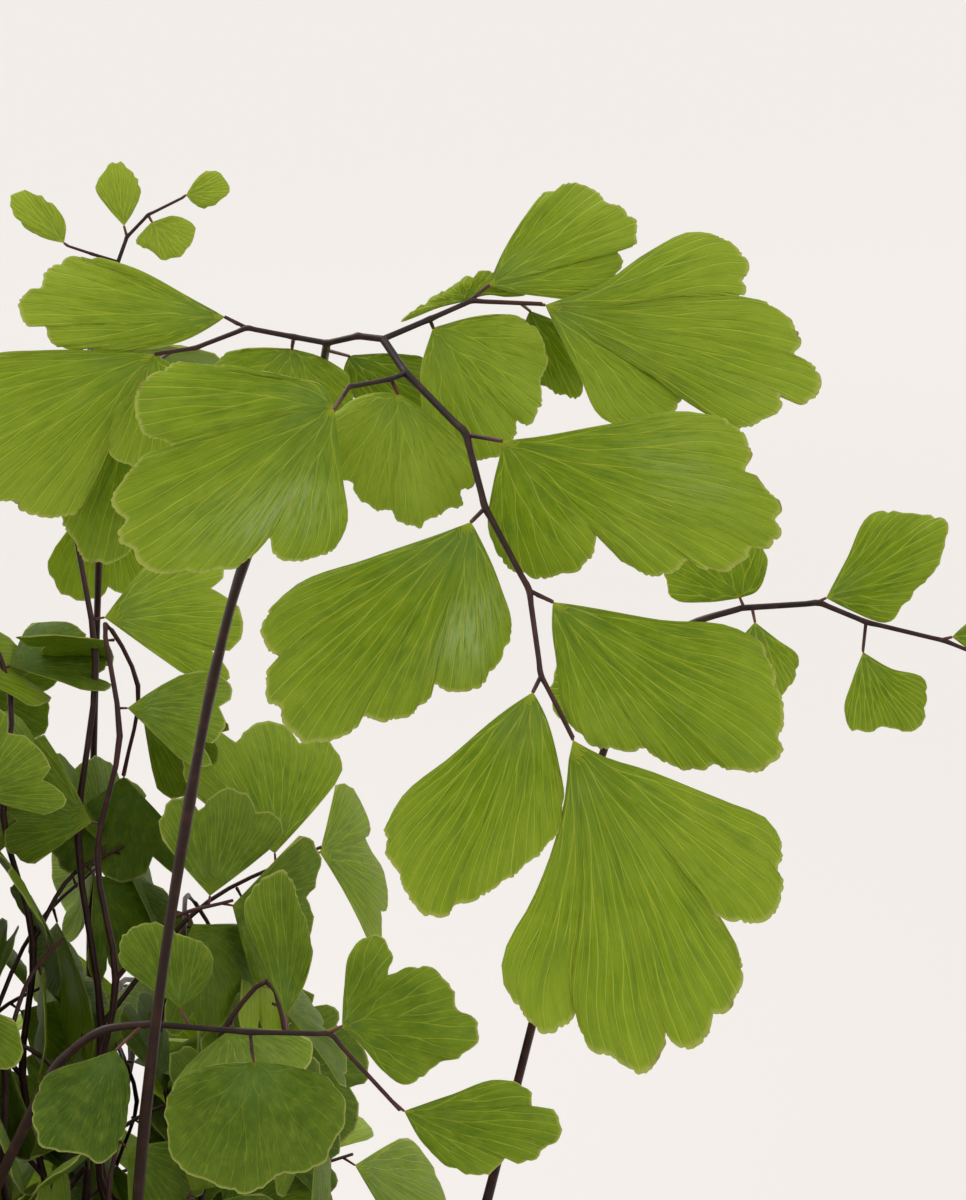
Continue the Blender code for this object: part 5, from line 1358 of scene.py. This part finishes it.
# Soil: a closed turned body that fills the pot, with the bumps on its top inside the pot's wall.
def buildSoil():
    level = soilForm["level"]
    edge = innerRadius(level) - soilForm["gap"]
    low = potForm["floor"] + soilForm["gap"]
    wall = [(0, low), (innerRadius(low) - soilForm["gap"], low), (edge, level)]
    shares = np.linspace(1, soilForm["innermost"], soilForm["rings"])[1:]
    inward = [(edge * share, level) for share in shares]
    profile = np.array(wall + inward + [(0, level)]) * mm

    # The soil's height for the points on its top, the profile's own height for all others.
    def topShape(radius, height, angle):
        below, inside = soilForm["topWithin"]
        top = (height > (level - below) * mm) & (radius < (edge - inside) * mm)
        return radius, np.where(top, soilHeight(radius * np.cos(angle), radius * np.sin(angle)), height)

    shell = turnedShell(profile, soilForm["spokes"], topShape)
    shell["points"][-1, 2] = soilHeight(np.zeros(1), np.zeros(1))[0]
    crumbs = joinShells([crumbShell(i) for i in range(soilForm["grit"])])
    for name, body in (("pottingSoil", shell), ("soilCrumbs", crumbs)):
        piece = addPiece(name, body, soilLook, sharpAngle=1.2)
        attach(piece, "root")
        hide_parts("soil")


crumbForm = {
    "sides": 7, "levels": (-0.72, -0.2, 0.42, 0.85), "ends": ((0, 0, -1), (0, 0, 1.05)),
    "rough": (0.75, 1.15), "sizes": (0.5, 1.7), "sizePower": 1.4, "fromWall": 3.2,
    "stretch": (0.7, 1.2), "lift": 0.3,
}


# Crumb: a coarse ball with its points moved in and out, pressed into the soil by a third of its size.
def crumbShell(number):
    draws = np.random.default_rng(number)
    sides = crumbForm["sides"]
    angle = around(sides)
    lift = np.array(crumbForm["levels"])[:, None]
    ring = np.sqrt(1 - lift**2)
    rough = draws.uniform(*crumbForm["rough"], (len(lift), sides))
    rings = np.stack((ring * np.cos(angle) * rough, ring * np.sin(angle) * rough, lift * rough), axis=-1)
    shell = ringShell(rings, crumbForm["ends"], {})
    size = draws.uniform(*crumbForm["sizes"]) ** crumbForm["sizePower"] * mm
    reach = math.sqrt(draws.uniform(0, 1)) * (innerRadius(soilForm["level"]) - crumbForm["fromWall"]) * mm
    heading = draws.uniform(0, fullTurn)
    spot = np.array((reach * math.cos(heading), reach * math.sin(heading)))
    rise = soilHeight(spot[:1], spot[1:])[0] + size * crumbForm["lift"]
    stretch = draws.uniform(*crumbForm["stretch"], 3)
    shell["points"] = shell["points"] * size * stretch + np.array((*spot, rise))
    return shell


buildSoil()
print("soil done")

stageForm = {
    "floorRadius": 14.0, "floorThick": 0.02, "floorRings": (1, 1 / 8, 1 / 60),
    # The near colour is painted shade that offsets the lamps' extra light near the pot.
    "nearColour": (0.52, 0.504, 0.494, 1), "farColour": (0.835, 0.81, 0.793, 1), "fade": (-0.6, 2.5),
    "floorSides": 96, "floorRough": 0.9, "floorMirror": 0.1,
    "worldColour": (1.0, 0.985, 0.965, 1), "worldLight": 1.06, "lens": 157.5, "sensor": 36,
    "clip": (0.01, 60), "aim": (0.03, -0.10, 0.24),
    "lights": {
        "skylight": {"spot": (-0.55, 0.35, 1.15), "size": 0.9, "power": 9.0, "colour": (1.0, 0.98, 0.95)},
        "frontFill": {"spot": (0.7, -1.1, 0.9), "size": 0.8, "power": 3.0, "colour": (1.0, 0.98, 0.96)},
    },
}


# Level disc under the pot, painted darker near it to offset the lamps' light there: rings of points round
# the middle, with a low edge.
def buildFloor():
    m = Looks("paleFloor")
    reach = m.add("ShaderNodeVectorMath", {0: m.place}, operation="LENGTH").outputs["Value"]
    body = m.blended(m.ranged(reach, *stageForm["fade"]), stageForm["nearColour"], stageForm["farColour"])
    material = m.finished(m.skin(body, stageForm["floorRough"], stageForm["floorMirror"]))
    radius, thick = stageForm["floorRadius"], stageForm["floorThick"]
    top = [(radius * share, 0) for share in stageForm["floorRings"]]
    profile = np.array([(0, -thick), (radius, -thick), *top, (0, 0)])
    return addPiece("floorDisc", turnedShell(profile, stageForm["floorSides"]), material, sharpAngle=0.5)


# Round soft light that faces the aim.
def addLight(name, spot, size, power, colour):
    data = bpy.data.lights.new(name, "AREA")
    data.shape = "DISK"
    data.size = size
    data.energy = power
    data.color = colour
    lamp = bpy.data.objects.new(name, data)
    lamp.location = spot
    lamp.rotation_euler = (Vector(stageForm["aim"]) - Vector(spot)).to_track_quat("-Z", "Y").to_euler()
    bpy.context.scene.collection.objects.link(lamp)
    return lamp


# Camera at the eye point, facing the middle of the picture.
def addCamera():
    data = bpy.data.cameras.new("photoView")
    data.sensor_width = stageForm["sensor"]
    data.lens = stageForm["lens"]
    data.clip_start, data.clip_end = stageForm["clip"]
    camera = bpy.data.objects.new("photoView", data)
    camera.location = Vector(eyePoint)
    camera.rotation_euler = Vector(-eyeHeading).to_track_quat("-Z", "Y").to_euler()
    bpy.context.scene.collection.objects.link(camera)
    bpy.context.scene.camera = camera
    return camera


# Even light from all around.
def buildWorld():
    world = bpy.data.worlds.new("softRoom")
    world.use_nodes = True
    background = world.node_tree.nodes["Background"]
    background.inputs["Color"].default_value = stageForm["worldColour"]
    background.inputs["Strength"].default_value = stageForm["worldLight"]
    bpy.context.scene.world = world


floor = buildFloor()
lights = [addLight(name, **light) for name, light in stageForm["lights"].items()]
camera = addCamera()
buildWorld()
bpy.context.scene.view_settings.view_transform = "Standard"
bpy.context.scene.view_settings.look = "None"
print("stage ready")
